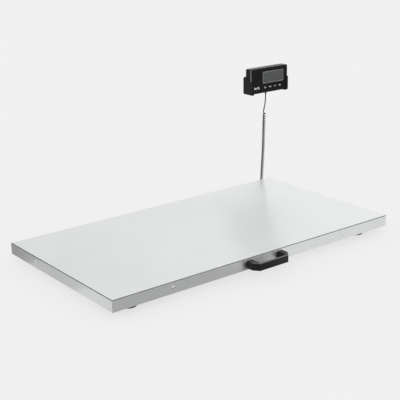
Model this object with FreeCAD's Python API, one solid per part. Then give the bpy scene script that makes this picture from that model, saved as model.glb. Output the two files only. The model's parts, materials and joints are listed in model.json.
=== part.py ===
import FreeCAD, Part
import math
import os

# Animal weighing scale: a low steel platform on four load cells, with a carrying handle on its
# front long side and an indicator that stands in a wall cradle behind it on a curly cord.
# The origin is on the floor under the middle of the platform. X runs along the platform,
# the handle faces -Y, and Z is up. Millimetres.

V = FreeCAD.Vector
X = V(1, 0, 0)
Y = V(0, 1, 0)
Z = V(0, 0, 1)
SIDES = (-1, 1)
CORNERS = ((-1, -1), (1, -1), (1, 1), (-1, 1))
os.makedirs("parts", exist_ok=True)

# Platform
DECK_LENGTH = 945.0
DECK_WIDTH = 505.0
DECK_TOP = 50.0
SKIRT_BOTTOM = 18.5
SHEET = 1.5
FOLD_RADIUS = 2.0
CORNER_SEAM = 0.3
FIT = 0.3
TUBE = 25.0
TUBE_WALL = 1.5
CROSS_TUBE_X = 310.0
FRAME_TOP = DECK_TOP - SHEET
FRAME_BOTTOM = FRAME_TOP - TUBE
FRAME_X = DECK_LENGTH / 2 - SHEET - FIT
FRAME_Y = DECK_WIDTH / 2 - SHEET - FIT
RAIL_INNER_X = FRAME_X - TUBE
RAIL_INNER_Y = FRAME_Y - TUBE

# Cover screws and the rivet nuts that they go into
COVER_SCREW_Z = 35.0
LONG_SIDE_SCREW_X = 295.0
SHORT_SIDE_SCREW_Y = 116.0
COVER_SCREW_SHANK = 4.8
COVER_SCREW_LENGTH = 12.0
COVER_HOLE = 5.4
RIVET_NUT_DIAMETER = 7.0
RIVET_NUT_LENGTH = 11.0

# Carrying handle
HANDLE_WIDTH = 124.0
HANDLE_MIDDLE_X = 4.5
HANDLE_REACH = 37.0
HANDLE_LEG = 16.5
HANDLE_BAR = 5.5
HANDLE_TAPER = 2.0
HANDLE_BOTTOM = 22.5
HANDLE_TOP = 44.0
HANDLE_STRAIGHT = 20.0
HANDLE_CHAMFER = 13.0
HANDLE_ROUNDING = 1.6
HANDLE_SCREWS_X = [HANDLE_MIDDLE_X + side * (HANDLE_WIDTH - HANDLE_LEG) / 2 for side in SIDES]
HANDLE_SCREW_Z = (HANDLE_BOTTOM + HANDLE_TOP) / 2
HANDLE_SCREW_DIAMETER = 4.8
INSERT_DIAMETER = 8.0
INSERT_LENGTH = 13.0

# Load cells and levelling feet
FOOT_X = 396.5
FOOT_Y = 202.5
CELL_LENGTH = 80.0
CELL_WIDTH = 22.0
CELL_HEIGHT = 20.0
CELL_BOTTOM = 21.0
CELL_TOP = CELL_BOTTOM + CELL_HEIGHT
CELL_OUTER_X = FOOT_X + 11.5
CELL_INNER_X = CELL_OUTER_X - CELL_LENGTH
CELL_MIDDLE_X = (CELL_OUTER_X + CELL_INNER_X) / 2
CELL_SCREWS_X = (CELL_INNER_X + 8.0, CELL_INNER_X + 23.0)
CELL_SCREW = 6.0
CELL_SCREW_HOLE = 6.4
CELL_SCREW_HEAD = 10.0
CELL_SCREW_HEAD_HEIGHT = 3.3
FLEXURE_RADIUS = 6.5
FLEXURE_SPREAD = 8.0
FLEXURE_SLOT = 6.0
SPACER = 1.5
BRACKET = 4.0
BRACKET_BOTTOM = CELL_TOP + SPACER
BRACKET_TOP = BRACKET_BOTTOM + BRACKET
BRACKET_OUTER_X = 380.0
BRACKET_INNER_Y = 180.0
STEM_RADIUS = 4.0
STEM_TOP = 42.0
STEM_CLEARANCE = 0.3
PAD_RADIUS = 22.5
PAD_HEIGHT = 11.0
PAD_EDGE = 4.0
PAD_TOP_RADIUS = 16.5
PAD_FLOOR = 2.5
SOCKET_RADIUS = 7.3
SOCKET_LIP = 2.0
NECK_RADIUS = 4.8
SOCKET_PLAY = 0.3
HEX_FLATS = 13.0
LOCK_NUT = 4.0

# Junction box and wiring under the deck
BOX_X = (190.0, 270.0)
BOX_Y = (150.0, 205.0)
BOX_TOP = 46.5
BOX_WALL = 2.0
LID_BOTTOM = 22.0
LID = 2.5
WIRE = 3.5
WIRE_HOLE = 4.4
CLIP_HOLE = 3.8
WIRE_BEND = 8.0
WIRE_LOW_Z = 21.2
WIRE_SIDE_X = 338.0
WIRE_CELL_Z = 31.0
WIRE_BOX_Z = 32.0
GLAND_X = 430.0
GLAND_Z = 33.0
GLAND_THREAD = 12.0
GLAND_END_Y = DECK_WIDTH / 2 + 11.5

# Indicator and its cradle
CASE_X = (403.4, 558.9)
CASE_Z = (332.5, 412.5)
CASE_FRONT = 267.5
CASE_SPLIT = 281.0
CASE_BACK = 292.5
CASE_WALL = 2.0
CASE_CORNER = 5.0
CASE_EDGE = 1.2
CASE_MIDDLE_X = (CASE_X[0] + CASE_X[1]) / 2
POST_INSET = 6.5
POST_RADIUS = 3.8
SHELL_SCREW_RADIUS = 1.2
WINDOW_X = (454.0, 541.5)
WINDOW_Z = (362.5, 400.0)
WINDOW_CORNER = 3.0
KEY_X = (463.0, 484.0, 505.0, 525.5)
KEY_Z = 349.5
KEY_WIDTH = 15.4
KEY_HEIGHT = 6.4
KEY_PROUD = 0.6
KEY_FLANGE = 1.0
CELL_AA_RADIUS = 7.25
CELL_AA_LENGTH = 50.5
AA_Y = 283.2
AA_Z = (383.2, 398.4)
AA_X = (454.0, 506.0)
BAY_X = (421.0, 539.0)
BAY_Z = 374.5
BAY_FLOOR_Y = 275.2
DOOR_X = (425.3, 534.7)
DOOR = 1.9
CRADLE_GAP = 0.3
CRADLE_ARM = 1.6
CRADLE_BACK = 9.4
CRADLE_LIP = 1.6
CRADLE_LIP_WIDTH = 7.0
CRADLE_FLOOR = 2.5
CRADLE_POCKET = 12.0
CRADLE_LIP_TOP = 373.0
CRADLE_ARM_TOP = 386.0
CRADLE_PLATE_TOP = 400.0
CRADLE_HOLE_SPREAD = 45.0
CRADLE_HOLE_Z = 384.0
CRADLE_HOLE = 4.5

# Cord: a straight lead, the curly part, and the lower lead to the gland on the back skirt
CORD = 3.5
COIL = 10.8
CORD_X = 476.5
CORD_Y = 280.0
BOOT_END = 324.5
UPPER_LEAD = [
    (CORD_X, CORD_Y, BOOT_END), (477.3, 280.6, 309.0), (473.2, 279.4, 289.0), (467.3, 280.0, 266.7),
]
COIL_ROUTE = [
    (471.0, 280.0, 266.0), (469.6, 280.4, 206.0), (467.6, 279.8, 146.0),
    (464.0, 280.3, 88.0), (461.0, 280.0, 37.0),
]
LOWER_LEAD = [
    (457.4, 280.0, 37.0), (456.4, 282.0, 10.5), (431.0, 290.5, 12.5),
    (427.5, 283.0, 33.5), (GLAND_X, GLAND_END_Y, GLAND_Z),
]


def box(x, y, z):
    """A block between two x, two y and two z values."""
    x, y, z = sorted(x), sorted(y), sorted(z)
    return Part.makeBox(x[1] - x[0], y[1] - y[0], z[1] - z[0], V(x[0], y[0], z[0]))


def rod(start, end, radius):
    """A cylinder from one point to another."""
    start, end = V(*start), V(*end)
    return Part.makeCylinder(radius, (end - start).Length, start, end - start)


def plate_outline(x, z, y, corner):
    """A slab in the XZ plane with rounded corners, between two y values."""
    slab = box(x, y, z)
    uprights = [e for e in slab.Edges if abs(e.tangentAt(e.FirstParameter).y) > 0.9]
    return slab.makeFillet(corner, uprights)


def round_edges(solid, radius, wanted):
    """Round the edges of a solid that the test picks out."""
    return solid.makeFillet(radius, [e for e in solid.Edges if wanted(e)])


def hexagon(flats, bottom, top, x, y):
    """An upright hexagonal prism."""
    reach = flats / math.sqrt(3)
    points = [
        V(x + reach * math.cos(math.radians(60 * n)), y + reach * math.sin(math.radians(60 * n)), bottom)
        for n in range(7)
    ]
    return Part.Face(Part.makePolygon(points)).extrude(V(0, 0, top - bottom))


def pan_screw(at, inward, head, shank, length):
    """A pan-head screw with a cross recess: at is the middle of the seat, inward its direction."""
    height = head * 0.32
    solid = rod((0, 0, 0), (0, 0, height), head / 2)
    solid = round_edges(solid, height * 0.7, lambda e: e.BoundBox.ZMin > height - 0.01)
    wide, narrow, deep = head * 0.28, head * 0.055, height * 0.6
    solid = solid.cut(box((-wide, wide), (-narrow, narrow), (height - deep, height + 1)))
    solid = solid.cut(box((-narrow, narrow), (-wide, wide), (height - deep, height + 1)))
    solid = solid.fuse(rod((0, 0, 0), (0, 0, -length), shank / 2))
    return placed(solid, at, inward)


def socket_screw(at, inward, head, height, shank, length):
    """A cap screw with a hexagon socket."""
    solid = rod((0, 0, 0), (0, 0, height), head / 2)
    solid = round_edges(solid, 0.5, lambda e: e.BoundBox.ZMin > height - 0.01)
    solid = solid.cut(hexagon(head * 0.45, height * 0.45, height + 1, 0, 0))
    solid = solid.fuse(rod((0, 0, 0), (0, 0, -length), shank / 2))
    return placed(solid, at, inward)


def placed(solid, at, inward):
    """Turn a screw made along -Z so that it points inward, and move its seat to a point."""
    turn = FreeCAD.Rotation(V(0, 0, -1), inward)
    solid.Placement = FreeCAD.Placement(V(*at), turn)
    return solid


def tube_along(route, diameter, bend=None):
    """A round tube along straight runs joined by tangent arcs, with its length and its radii."""
    points = [V(*p) for p in route]
    edges, radii, start = [], [], points[0]
    for before, corner, after in zip(points, points[1:], points[2:]):
        along = (corner - before).normalize()
        onward = (after - corner).normalize()
        half = along.getAngle(onward) / 2
        shorter = min((corner - before).Length, (after - corner).Length)
        radius = 0.45 * shorter / math.tan(half)
        if bend:
            radius = min(bend, radius)
        reach = radius * math.tan(half)
        first, last = corner - along * reach, corner + onward * reach
        inward = (onward - along).normalize()
        middle = corner + inward * (radius / math.cos(half) - radius)
        edges.append(Part.LineSegment(start, first).toShape())
        edges.append(Part.Arc(first, middle, last).toShape())
        radii.append(radius)
        start = last
    edges.append(Part.LineSegment(start, points[-1]).toShape())
    path = Part.Wire(edges)
    section = Part.Wire(Part.makeCircle(diameter / 2, points[0], points[1] - points[0]))
    tube = path.makePipeShell([section], True, True)
    return tube, path.Length, radii


def report_tube(name, tube, length, radii, diameter):
    """Print a tube's length, its bend radii and its volume against section times length."""
    ratio = tube.Volume / (math.pi * diameter ** 2 / 4 * length)
    print(f"{name}: length {length:.1f}, volume ratio {ratio:.4f}, radii", [round(r, 1) for r in radii])


def save(name, *solids):
    """Write one sub-part, which may hold several like solids."""
    shape = solids[0] if len(solids) == 1 else Part.makeCompound(list(solids))
    if not shape.isValid():
        print("NOT VALID", name)
    shape.exportStep(f"parts/{name}.step")


# ---- Deck cover: a folded stainless sheet with four skirts and open corner seams ----
def cover_screw_places():
    """Seat points and inward directions of the eight cover screws."""
    places = []
    for side in SIDES:
        for end in SIDES:
            places.append(((end * LONG_SIDE_SCREW_X, side * DECK_WIDTH / 2, COVER_SCREW_Z), V(0, -side, 0)))
            places.append(((side * DECK_LENGTH / 2, end * SHORT_SIDE_SCREW_Y, COVER_SCREW_Z), V(-side, 0, 0)))
    return places


def hole(at, inward, diameter, depth):
    """A cutter for a hole that starts a little outside the seat."""
    start = V(*at) - inward
    return Part.makeCylinder(diameter / 2, depth + 1, start, inward)


def deck_cover():
    half_x, half_y = DECK_LENGTH / 2, DECK_WIDTH / 2
    outer = box((-half_x, half_x), (-half_y, half_y), (SKIRT_BOTTOM, DECK_TOP))
    outer = round_edges(outer, FOLD_RADIUS, lambda e: e.BoundBox.ZMin > DECK_TOP - 0.01)
    inner_x, inner_y = half_x - SHEET, half_y - SHEET
    cover = outer.cut(box((-inner_x, inner_x), (-inner_y, inner_y), (SKIRT_BOTTOM - 1, FRAME_TOP)))
    seam_top = DECK_TOP - FOLD_RADIUS - 1.0
    for side_x, side_y in CORNERS:
        seam = box((-4, 4), (-CORNER_SEAM / 2, CORNER_SEAM / 2), (SKIRT_BOTTOM - 1, seam_top))
        seam.rotate(V(0, 0, 0), Z, 45 * side_x * side_y)
        seam.translate(V(side_x * half_x, side_y * half_y, 0))
        cover = cover.cut(seam)
    for at, inward in cover_screw_places():
        cover = cover.cut(hole(at, inward, COVER_HOLE, 2 * SHEET))
    for x in HANDLE_SCREWS_X:
        cover = cover.cut(hole((x, -half_y, HANDLE_SCREW_Z), Y, COVER_HOLE, 2 * SHEET))
    return cover.cut(hole((GLAND_X, half_y, GLAND_Z), -Y, GLAND_THREAD + 0.5, 2 * SHEET))


save("deck_cover", deck_cover())
screws, nuts = [], []
for at, inward in cover_screw_places():
    screws.append(pan_screw(at, inward, 8.5, COVER_SCREW_SHANK, COVER_SCREW_LENGTH))
    tube_face = V(*at) + inward * (SHEET + FIT)
    nut = Part.makeCylinder(RIVET_NUT_DIAMETER / 2, RIVET_NUT_LENGTH, tube_face, inward)
    nuts.append(nut.cut(hole(tube_face, inward, 5.0, RIVET_NUT_LENGTH + 1)))
save("cover_screws", *screws)
save("rivet_nuts", *nuts)


# ---- Frame: square steel tubes, the long rails outside, the end rails and cross tubes between ----
def square_tube(x, y, z, along):
    """A square tube, open at both ends."""
    outer = box(x, y, z)
    inner = [(low + TUBE_WALL, high - TUBE_WALL) for low, high in (sorted(x), sorted(y), sorted(z))]
    inner[along] = (-DECK_LENGTH, DECK_LENGTH)
    return outer.cut(box(*inner))


FRAME_Z = (FRAME_BOTTOM, FRAME_TOP)
for side, name in ((-1, "front_rail"), (1, "back_rail")):
    rail = square_tube((-FRAME_X, FRAME_X), (side * RAIL_INNER_Y, side * FRAME_Y), FRAME_Z, 0)
    for end in SIDES:
        at = (end * LONG_SIDE_SCREW_X, side * FRAME_Y, COVER_SCREW_Z)
        rail = rail.cut(hole(at, V(0, -side, 0), RIVET_NUT_DIAMETER + 0.1, 2 * TUBE_WALL))
    if side < 0:
        for x in HANDLE_SCREWS_X:
            rail = rail.cut(hole((x, -FRAME_Y, HANDLE_SCREW_Z), Y, COVER_HOLE, TUBE + 1))
    else:
        rail = rail.cut(hole((GLAND_X, FRAME_Y, GLAND_Z), -Y, GLAND_THREAD + 0.5, TUBE + 1))
    save(name, rail)
for side, name in ((-1, "left_rail"), (1, "right_rail")):
    rail = square_tube((side * RAIL_INNER_X, side * FRAME_X), (-RAIL_INNER_Y, RAIL_INNER_Y), FRAME_Z, 1)
    for end in SIDES:
        at = (side * FRAME_X, end * SHORT_SIDE_SCREW_Y, COVER_SCREW_Z)
        rail = rail.cut(hole(at, V(-side, 0, 0), RIVET_NUT_DIAMETER + 0.1, 2 * TUBE_WALL))
    save(name, rail)
for middle, name in ((-CROSS_TUBE_X, "left"), (0, "middle"), (CROSS_TUBE_X, "right")):
    across = (middle - TUBE / 2, middle + TUBE / 2)
    save(f"{name}_cross_tube", square_tube(across, (-RAIL_INNER_Y, RAIL_INNER_Y), FRAME_Z, 1))


# ---- Carrying handle: a black bridge handle, two brass inserts, and screws through the front rail ----
def carrying_handle():
    root = -DECK_WIDTH / 2
    half = HANDLE_WIDTH / 2
    inner = half - HANDLE_LEG
    front = root - HANDLE_REACH
    outline = [
        (-half, root), (-half, root - HANDLE_STRAIGHT), (-half + HANDLE_CHAMFER, front),
        (half - HANDLE_CHAMFER, front), (half, root - HANDLE_STRAIGHT), (half, root),
        (inner, root), (inner, root - HANDLE_STRAIGHT), (inner - HANDLE_TAPER, front + HANDLE_BAR),
        (-inner + HANDLE_TAPER, front + HANDLE_BAR), (-inner, root - HANDLE_STRAIGHT), (-inner, root),
    ]
    loop = Part.makePolygon([V(HANDLE_MIDDLE_X + x, y, HANDLE_BOTTOM) for x, y in outline + outline[:1]])
    grip = Part.Face(loop).extrude(V(0, 0, HANDLE_TOP - HANDLE_BOTTOM))
    grip = round_edges(grip, HANDLE_ROUNDING, lambda e: e.BoundBox.YMin < root - 0.1)
    for x in HANDLE_SCREWS_X:
        mouth = V(x, root, HANDLE_SCREW_Z)
        grip = grip.cut(Part.makeCylinder(INSERT_DIAMETER / 2, INSERT_LENGTH, mouth, -Y))
    return grip


save("carrying_handle", carrying_handle())
screws, inserts = [], []
for x in HANDLE_SCREWS_X:
    root = V(x, -DECK_WIDTH / 2, HANDLE_SCREW_Z)
    insert = Part.makeCylinder(INSERT_DIAMETER / 2, INSERT_LENGTH, root, -Y)
    inserts.append(insert.cut(Part.makeCylinder(HANDLE_SCREW_DIAMETER / 2, INSERT_LENGTH, root, -Y)))
    seat = (root.x, -RAIL_INNER_Y, root.z)
    reach = DECK_WIDTH / 2 - RAIL_INNER_Y + INSERT_LENGTH - 2
    screws.append(socket_screw(seat, -Y, 8.5, 5.0, HANDLE_SCREW_DIAMETER, reach))
save("handle_inserts", *inserts)
save("handle_screws", *screws)


# ---- Load cells: bending beams, bolted to brackets at the inner end, on feet at the outer end ----
def upright_hole(x, y, radius):
    """A cutter for a hole from the floor up through the platform."""
    return rod((x, y, 0), (x, y, DECK_TOP), radius)


def load_cell(side_x, side_y):
    x = (side_x * CELL_INNER_X, side_x * CELL_OUTER_X)
    y = (side_y * FOOT_Y - CELL_WIDTH / 2, side_y * FOOT_Y + CELL_WIDTH / 2)
    beam = box(x, y, (CELL_BOTTOM, CELL_TOP))
    beam = round_edges(beam, 0.6, lambda e: abs(e.tangentAt(e.FirstParameter).x) > 0.9)
    middle_z = (CELL_BOTTOM + CELL_TOP) / 2
    for shift in (-FLEXURE_SPREAD, FLEXURE_SPREAD):
        centre = side_x * CELL_MIDDLE_X + shift
        beam = beam.cut(rod((centre, y[0] - 1, middle_z), (centre, y[1] + 1, middle_z), FLEXURE_RADIUS))
    slot_x = (side_x * CELL_MIDDLE_X - FLEXURE_SPREAD, side_x * CELL_MIDDLE_X + FLEXURE_SPREAD)
    slot_z = (middle_z - FLEXURE_SLOT / 2, middle_z + FLEXURE_SLOT / 2)
    beam = beam.cut(box(slot_x, (y[0] - 1, y[1] + 1), slot_z))
    for screw_x in CELL_SCREWS_X:
        beam = beam.cut(upright_hole(side_x * screw_x, side_y * FOOT_Y, CELL_SCREW_HOLE / 2))
    return beam.cut(upright_hole(side_x * FOOT_X, side_y * FOOT_Y, STEM_RADIUS + STEM_CLEARANCE))


def drilled_plate(side_x, side_y, x, y, z):
    """A plate over a cell's inner end with its two screw holes."""
    plate = box([side_x * v for v in x], [side_y * v for v in y], z)
    for screw_x in CELL_SCREWS_X:
        plate = plate.cut(upright_hole(side_x * screw_x, side_y * FOOT_Y, CELL_SCREW_HOLE / 2))
    return plate


def foot_pad(x, y):
    """A rubber pad with a socket that keeps the end of its stem."""
    pad = rod((x, y, 0), (x, y, PAD_EDGE), PAD_RADIUS)
    cone = Part.makeCone(PAD_RADIUS, PAD_TOP_RADIUS, PAD_HEIGHT - PAD_EDGE, V(x, y, PAD_EDGE))
    pad = pad.fuse(cone).removeSplitter()
    pad = round_edges(pad, 0.8, lambda e: e.BoundBox.ZMax < 0.01)
    pad = round_edges(pad, 1.0, lambda e: e.BoundBox.ZMin > PAD_HEIGHT - 0.01)
    pad = pad.cut(rod((x, y, PAD_FLOOR), (x, y, PAD_HEIGHT - SOCKET_LIP), SOCKET_RADIUS))
    return pad.cut(rod((x, y, PAD_FLOOR), (x, y, PAD_HEIGHT + 1.0), NECK_RADIUS + 0.5))


def foot_stem(x, y):
    """A threaded stem with a turned foot that sits in the pad and a hexagon for the spanner."""
    foot_top = PAD_HEIGHT - SOCKET_LIP - SOCKET_PLAY
    foot = rod((x, y, PAD_FLOOR), (x, y, foot_top), SOCKET_RADIUS - SOCKET_PLAY)
    neck = rod((x, y, PAD_FLOOR), (x, y, PAD_HEIGHT + 1.0), NECK_RADIUS)
    spanner = hexagon(HEX_FLATS, PAD_HEIGHT + 0.5, PAD_HEIGHT + 4.0, x, y)
    shank = rod((x, y, PAD_HEIGHT), (x, y, STEM_TOP), STEM_RADIUS)
    shank = shank.makeChamfer(0.8, [e for e in shank.Edges if e.BoundBox.ZMin > STEM_TOP - 0.01])
    return foot.fuse([neck, spanner, shank]).removeSplitter()


brackets, spacers, cell_screws, lock_nuts = [], [], [], []
for number, (side_x, side_y) in enumerate(CORNERS, 1):
    x, y = side_x * FOOT_X, side_y * FOOT_Y
    save(f"load_cell_{number}", load_cell(side_x, side_y))
    save(f"foot_pad_{number}", foot_pad(x, y))
    save(f"foot_stem_{number}", foot_stem(x, y))
    bracket_x = (CROSS_TUBE_X + TUBE / 2, BRACKET_OUTER_X)
    bracket_z = (BRACKET_BOTTOM, BRACKET_TOP)
    brackets.append(drilled_plate(side_x, side_y, bracket_x, (BRACKET_INNER_Y, RAIL_INNER_Y), bracket_z))
    spacer_x = (CELL_INNER_X + 1, CELL_SCREWS_X[1] + 7)
    spacer_y = (FOOT_Y - CELL_WIDTH / 2, FOOT_Y + CELL_WIDTH / 2)
    spacers.append(drilled_plate(side_x, side_y, spacer_x, spacer_y, (CELL_TOP, BRACKET_BOTTOM)))
    for screw_x in CELL_SCREWS_X:
        seat = (side_x * screw_x, y, CELL_BOTTOM)
        reach = BRACKET_TOP - CELL_BOTTOM
        cell_screws.append(socket_screw(seat, Z, CELL_SCREW_HEAD, CELL_SCREW_HEAD_HEIGHT, CELL_SCREW, reach))
    nut = hexagon(HEX_FLATS, CELL_BOTTOM - LOCK_NUT, CELL_BOTTOM, x, y)
    lock_nuts.append(nut.cut(upright_hole(x, y, STEM_RADIUS + STEM_CLEARANCE)))
save("cell_brackets", *brackets)
save("cell_spacers", *spacers)
save("cell_screws", *cell_screws)
save("lock_nuts", *lock_nuts)

# ---- Junction box: hangs from a bracket on the back rail, with the board that sums the four cells ----
PAIR_ROWS = (160.0, 168.0)
LEAD_ROWS = {1: PAIR_ROWS[0], 2: PAIR_ROWS[0], 3: PAIR_ROWS[1], 4: PAIR_ROWS[1]}
MAIN_LEAD_Y = 184.0
junction_bracket = box((BOX_X[0] - 5, BOX_X[1] + 5), (BOX_Y[0] - 5, RAIL_INNER_Y), (BOX_TOP, FRAME_TOP))
save("junction_bracket", junction_bracket)
housing = box(BOX_X, BOX_Y, (LID_BOTTOM + LID, BOX_TOP))
housing = round_edges(housing, 3.0, lambda e: abs(e.tangentAt(e.FirstParameter).z) > 0.9)
hollow_x = (BOX_X[0] + BOX_WALL, BOX_X[1] - BOX_WALL)
hollow_y = (BOX_Y[0] + BOX_WALL, BOX_Y[1] - BOX_WALL)
housing = housing.cut(box(hollow_x, hollow_y, (LID_BOTTOM, BOX_TOP - BOX_WALL)))
box_posts = [(x, y) for x in (BOX_X[0] + 5, BOX_X[1] - 5) for y in (BOX_Y[0] + 5, BOX_Y[1] - 5)]
lid = box(BOX_X, BOX_Y, (LID_BOTTOM, LID_BOTTOM + LID))
lid = round_edges(lid, 3.0, lambda e: abs(e.tangentAt(e.FirstParameter).z) > 0.9)
lid_screws = []
for x, y in box_posts:
    housing = housing.fuse(rod((x, y, LID_BOTTOM + LID), (x, y, BOX_TOP - 1), 4.0))
    housing = housing.cut(rod((x, y, LID_BOTTOM), (x, y, LID_BOTTOM + 14), 1.3))
    lid = lid.cut(rod((x, y, LID_BOTTOM - 1), (x, y, LID_BOTTOM + LID + 1), 1.6))
    lid_screws.append(pan_screw((x, y, LID_BOTTOM), Z, 5.5, 2.5, 12.0))
for end, row in ((0, PAIR_ROWS[0]), (0, PAIR_ROWS[1]), (1, PAIR_ROWS[0]), (1, PAIR_ROWS[1]), (1, MAIN_LEAD_Y)):
    wall = BOX_X[end]
    housing = housing.cut(rod((wall - 3, row, WIRE_BOX_Z), (wall + 3, row, WIRE_BOX_Z), WIRE_HOLE / 2))
save("junction_box", housing.removeSplitter())
save("junction_lid", lid)
save("junction_screws", *lid_screws)
summing_board = box((BOX_X[0] + 10, BOX_X[1] - 10), (BOX_Y[0] + 4, BOX_Y[1] - 4), (39.0, 40.6))
for x in (BOX_X[0] + 16, BOX_X[0] + 40, BOX_X[1] - 16):
    summing_board = summing_board.fuse(box((x - 5, x + 5), (BOX_Y[0] + 6, BOX_Y[0] + 16), (31.0, 39.0)))
terminal_y = (BOX_Y[1] - 18, BOX_Y[1] - 8)
summing_board = summing_board.fuse(box((BOX_X[0] + 20, BOX_X[1] - 20), terminal_y, (34.0, 39.0)))
save("summing_board", summing_board)


# ---- Wiring: a lead from each cell, the inner end of the main cord, and the clips that hold them ----
def cell_lead(number, side_x, side_y):
    """From the cell's inner face along the cross tube, under the tubes, and into the box."""
    row = LEAD_ROWS[number]
    start_y = side_y * (FOOT_Y - CELL_WIDTH / 2)
    wall = BOX_X[1] if side_x > 0 else BOX_X[0]
    route = [(side_x * WIRE_SIDE_X, start_y, WIRE_CELL_Z), (side_x * WIRE_SIDE_X, row, WIRE_CELL_Z)]
    route += [(side_x * (CROSS_TUBE_X + 17), row, WIRE_LOW_Z), (wall + side_x * 18, row, WIRE_LOW_Z)]
    route += [(wall + side_x * 9, row, WIRE_BOX_Z), (wall - side_x * 3, row, WIRE_BOX_Z)]
    return route


leads = []
for number, (side_x, side_y) in enumerate(CORNERS, 1):
    route = cell_lead(number, side_x, side_y)
    lead, length, radii = tube_along(route, WIRE, WIRE_BEND)
    report_tube(f"cell lead {number}", lead, length, radii, WIRE)
    leads.append(lead)
save("cell_leads", *leads)
MAIN_LEAD = [
    (GLAND_X, RAIL_INNER_Y - 8, GLAND_Z), (GLAND_X, 196.0, GLAND_Z), (GLAND_X - 14, MAIN_LEAD_Y, WIRE_LOW_Z),
    (BOX_X[1] + 18, MAIN_LEAD_Y, WIRE_LOW_Z), (BOX_X[1] + 9, MAIN_LEAD_Y, WIRE_BOX_Z),
    (BOX_X[1] - 3, MAIN_LEAD_Y, WIRE_BOX_Z),
]
inner_lead, length, radii = tube_along(MAIN_LEAD, CORD, WIRE_BEND)
report_tube("inner lead", inner_lead, length, radii, CORD)
save("inner_lead", inner_lead)
clips = []
for middle, rows in ((-CROSS_TUBE_X, PAIR_ROWS), (0, PAIR_ROWS), (CROSS_TUBE_X, (*PAIR_ROWS, MAIN_LEAD_Y))):
    clip = box((middle - 5, middle + 5), (rows[0] - 6, rows[-1] + 6), (WIRE_LOW_Z - 2.6, FRAME_BOTTOM))
    for row in rows:
        clip = clip.cut(rod((middle - 6, row, WIRE_LOW_Z), (middle + 6, row, WIRE_LOW_Z), CLIP_HOLE / 2))
    clips.append(clip)
save("cable_clips", *clips)


# ---- Cable gland: a threaded body through the back skirt and rail, a dome outside, a nut inside ----
def turned(x, z, steps):
    """A body turned about a line along Y, from (y, y, radius) steps."""
    solids = [rod((x, low, z), (x, high, z), radius) for low, high, radius in steps]
    return solids[0].fuse(solids[1:]).removeSplitter()


SKIRT_Y = DECK_WIDTH / 2
gland = turned(GLAND_X, GLAND_Z, [
    (RAIL_INNER_Y - 8, SKIRT_Y + 1, GLAND_THREAD / 2),
    (SKIRT_Y, SKIRT_Y + 3.0, 9.0),
    (SKIRT_Y + 3.0, SKIRT_Y + 8.0, 7.5),
])
gland = gland.fuse(Part.makeCone(7.5, 3.2, 3.5, V(GLAND_X, SKIRT_Y + 8.0, GLAND_Z), Y)).removeSplitter()
save("cable_gland", gland)
gland_nut = hexagon(17.0, 0, 4.0, 0, 0)
gland_nut.rotate(V(0, 0, 0), X, 90)
gland_nut.translate(V(GLAND_X, RAIL_INNER_Y, GLAND_Z))
save("gland_nut", gland_nut.cut(rod((GLAND_X, 200, GLAND_Z), (GLAND_X, 240, GLAND_Z), GLAND_THREAD / 2)))


# ---- Cradle: a U-shaped holder on the wall that the indicator drops into from above ----
def cradle():
    outer_x = (CASE_X[0] - CRADLE_GAP - CRADLE_ARM, CASE_X[1] + CRADLE_GAP + CRADLE_ARM)
    front = CASE_FRONT - CRADLE_GAP - CRADLE_LIP
    plate_front = CASE_BACK + CRADLE_GAP
    plate_back = plate_front + CRADLE_BACK
    bottom = CASE_Z[0] - CRADLE_FLOOR
    body = plate_outline(outer_x, (bottom, CRADLE_ARM_TOP), (front, plate_back), CASE_CORNER + 1)
    slope = [
        V(0, front - 1, CRADLE_LIP_TOP), V(0, plate_front, CRADLE_ARM_TOP),
        V(0, plate_front, CRADLE_ARM_TOP + 1), V(0, front - 1, CRADLE_ARM_TOP + 1),
    ]
    over_arms = Part.Face(Part.makePolygon(slope + slope[:1])).extrude(V(2 * outer_x[1], 0, 0))
    body = body.cut(over_arms)
    plate_x = (outer_x[0] + 12, outer_x[1] - 12)
    body = body.fuse(plate_outline(plate_x, (bottom, CRADLE_PLATE_TOP), (plate_front, plate_back), 8.0))
    gap_x = (CASE_X[0] - CRADLE_GAP, CASE_X[1] + CRADLE_GAP)
    body = body.cut(box(gap_x, (CASE_FRONT - CRADLE_GAP, plate_front), (CASE_Z[0], 500)))
    lip_x = (CASE_X[0] + CRADLE_LIP_WIDTH, CASE_X[1] - CRADLE_LIP_WIDTH)
    body = body.cut(box(lip_x, (front - 1, CASE_FRONT - CRADLE_GAP), (CASE_Z[0] + 4, 500)))
    floor_x = (CASE_X[0] + CRADLE_POCKET, CASE_X[1] - CRADLE_POCKET)
    body = body.cut(box(floor_x, (front - 1, plate_front), (bottom - 1, 500)))
    for side in SIDES:
        at = (CASE_MIDDLE_X + side * CRADLE_HOLE_SPREAD, plate_front, CRADLE_HOLE_Z)
        body = body.cut(hole(at, Y, CRADLE_HOLE, CRADLE_BACK + 2))
        body = body.cut(hole(at, Y, 9.0, 3.0))
    return body.removeSplitter()


save("cradle", cradle())


# ---- Indicator: two shells, the display behind its window, four keys, the board and four cells ----
def post_places():
    xs = (CASE_X[0] + POST_INSET, CASE_X[1] - POST_INSET)
    zs = (CASE_Z[0] + POST_INSET, CASE_Z[1] - POST_INSET)
    return [(x, z) for x in xs for z in zs]


def case_half(front, back, cavity):
    """One half of the casing: a rounded slab with a cavity open at the split."""
    inner_x = (CASE_X[0] + CASE_WALL, CASE_X[1] - CASE_WALL)
    inner_z = (CASE_Z[0] + CASE_WALL, CASE_Z[1] - CASE_WALL)
    slab = plate_outline(CASE_X, CASE_Z, (front, back), CASE_CORNER)
    outside = front if front == CASE_FRONT else back

    def on_outside(edge):
        return abs(edge.BoundBox.YMin - outside) + abs(edge.BoundBox.YMax - outside) < 0.01

    slab = round_edges(slab, CASE_EDGE, on_outside)
    return slab.cut(plate_outline(inner_x, inner_z, cavity, CASE_CORNER - CASE_WALL))


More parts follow.
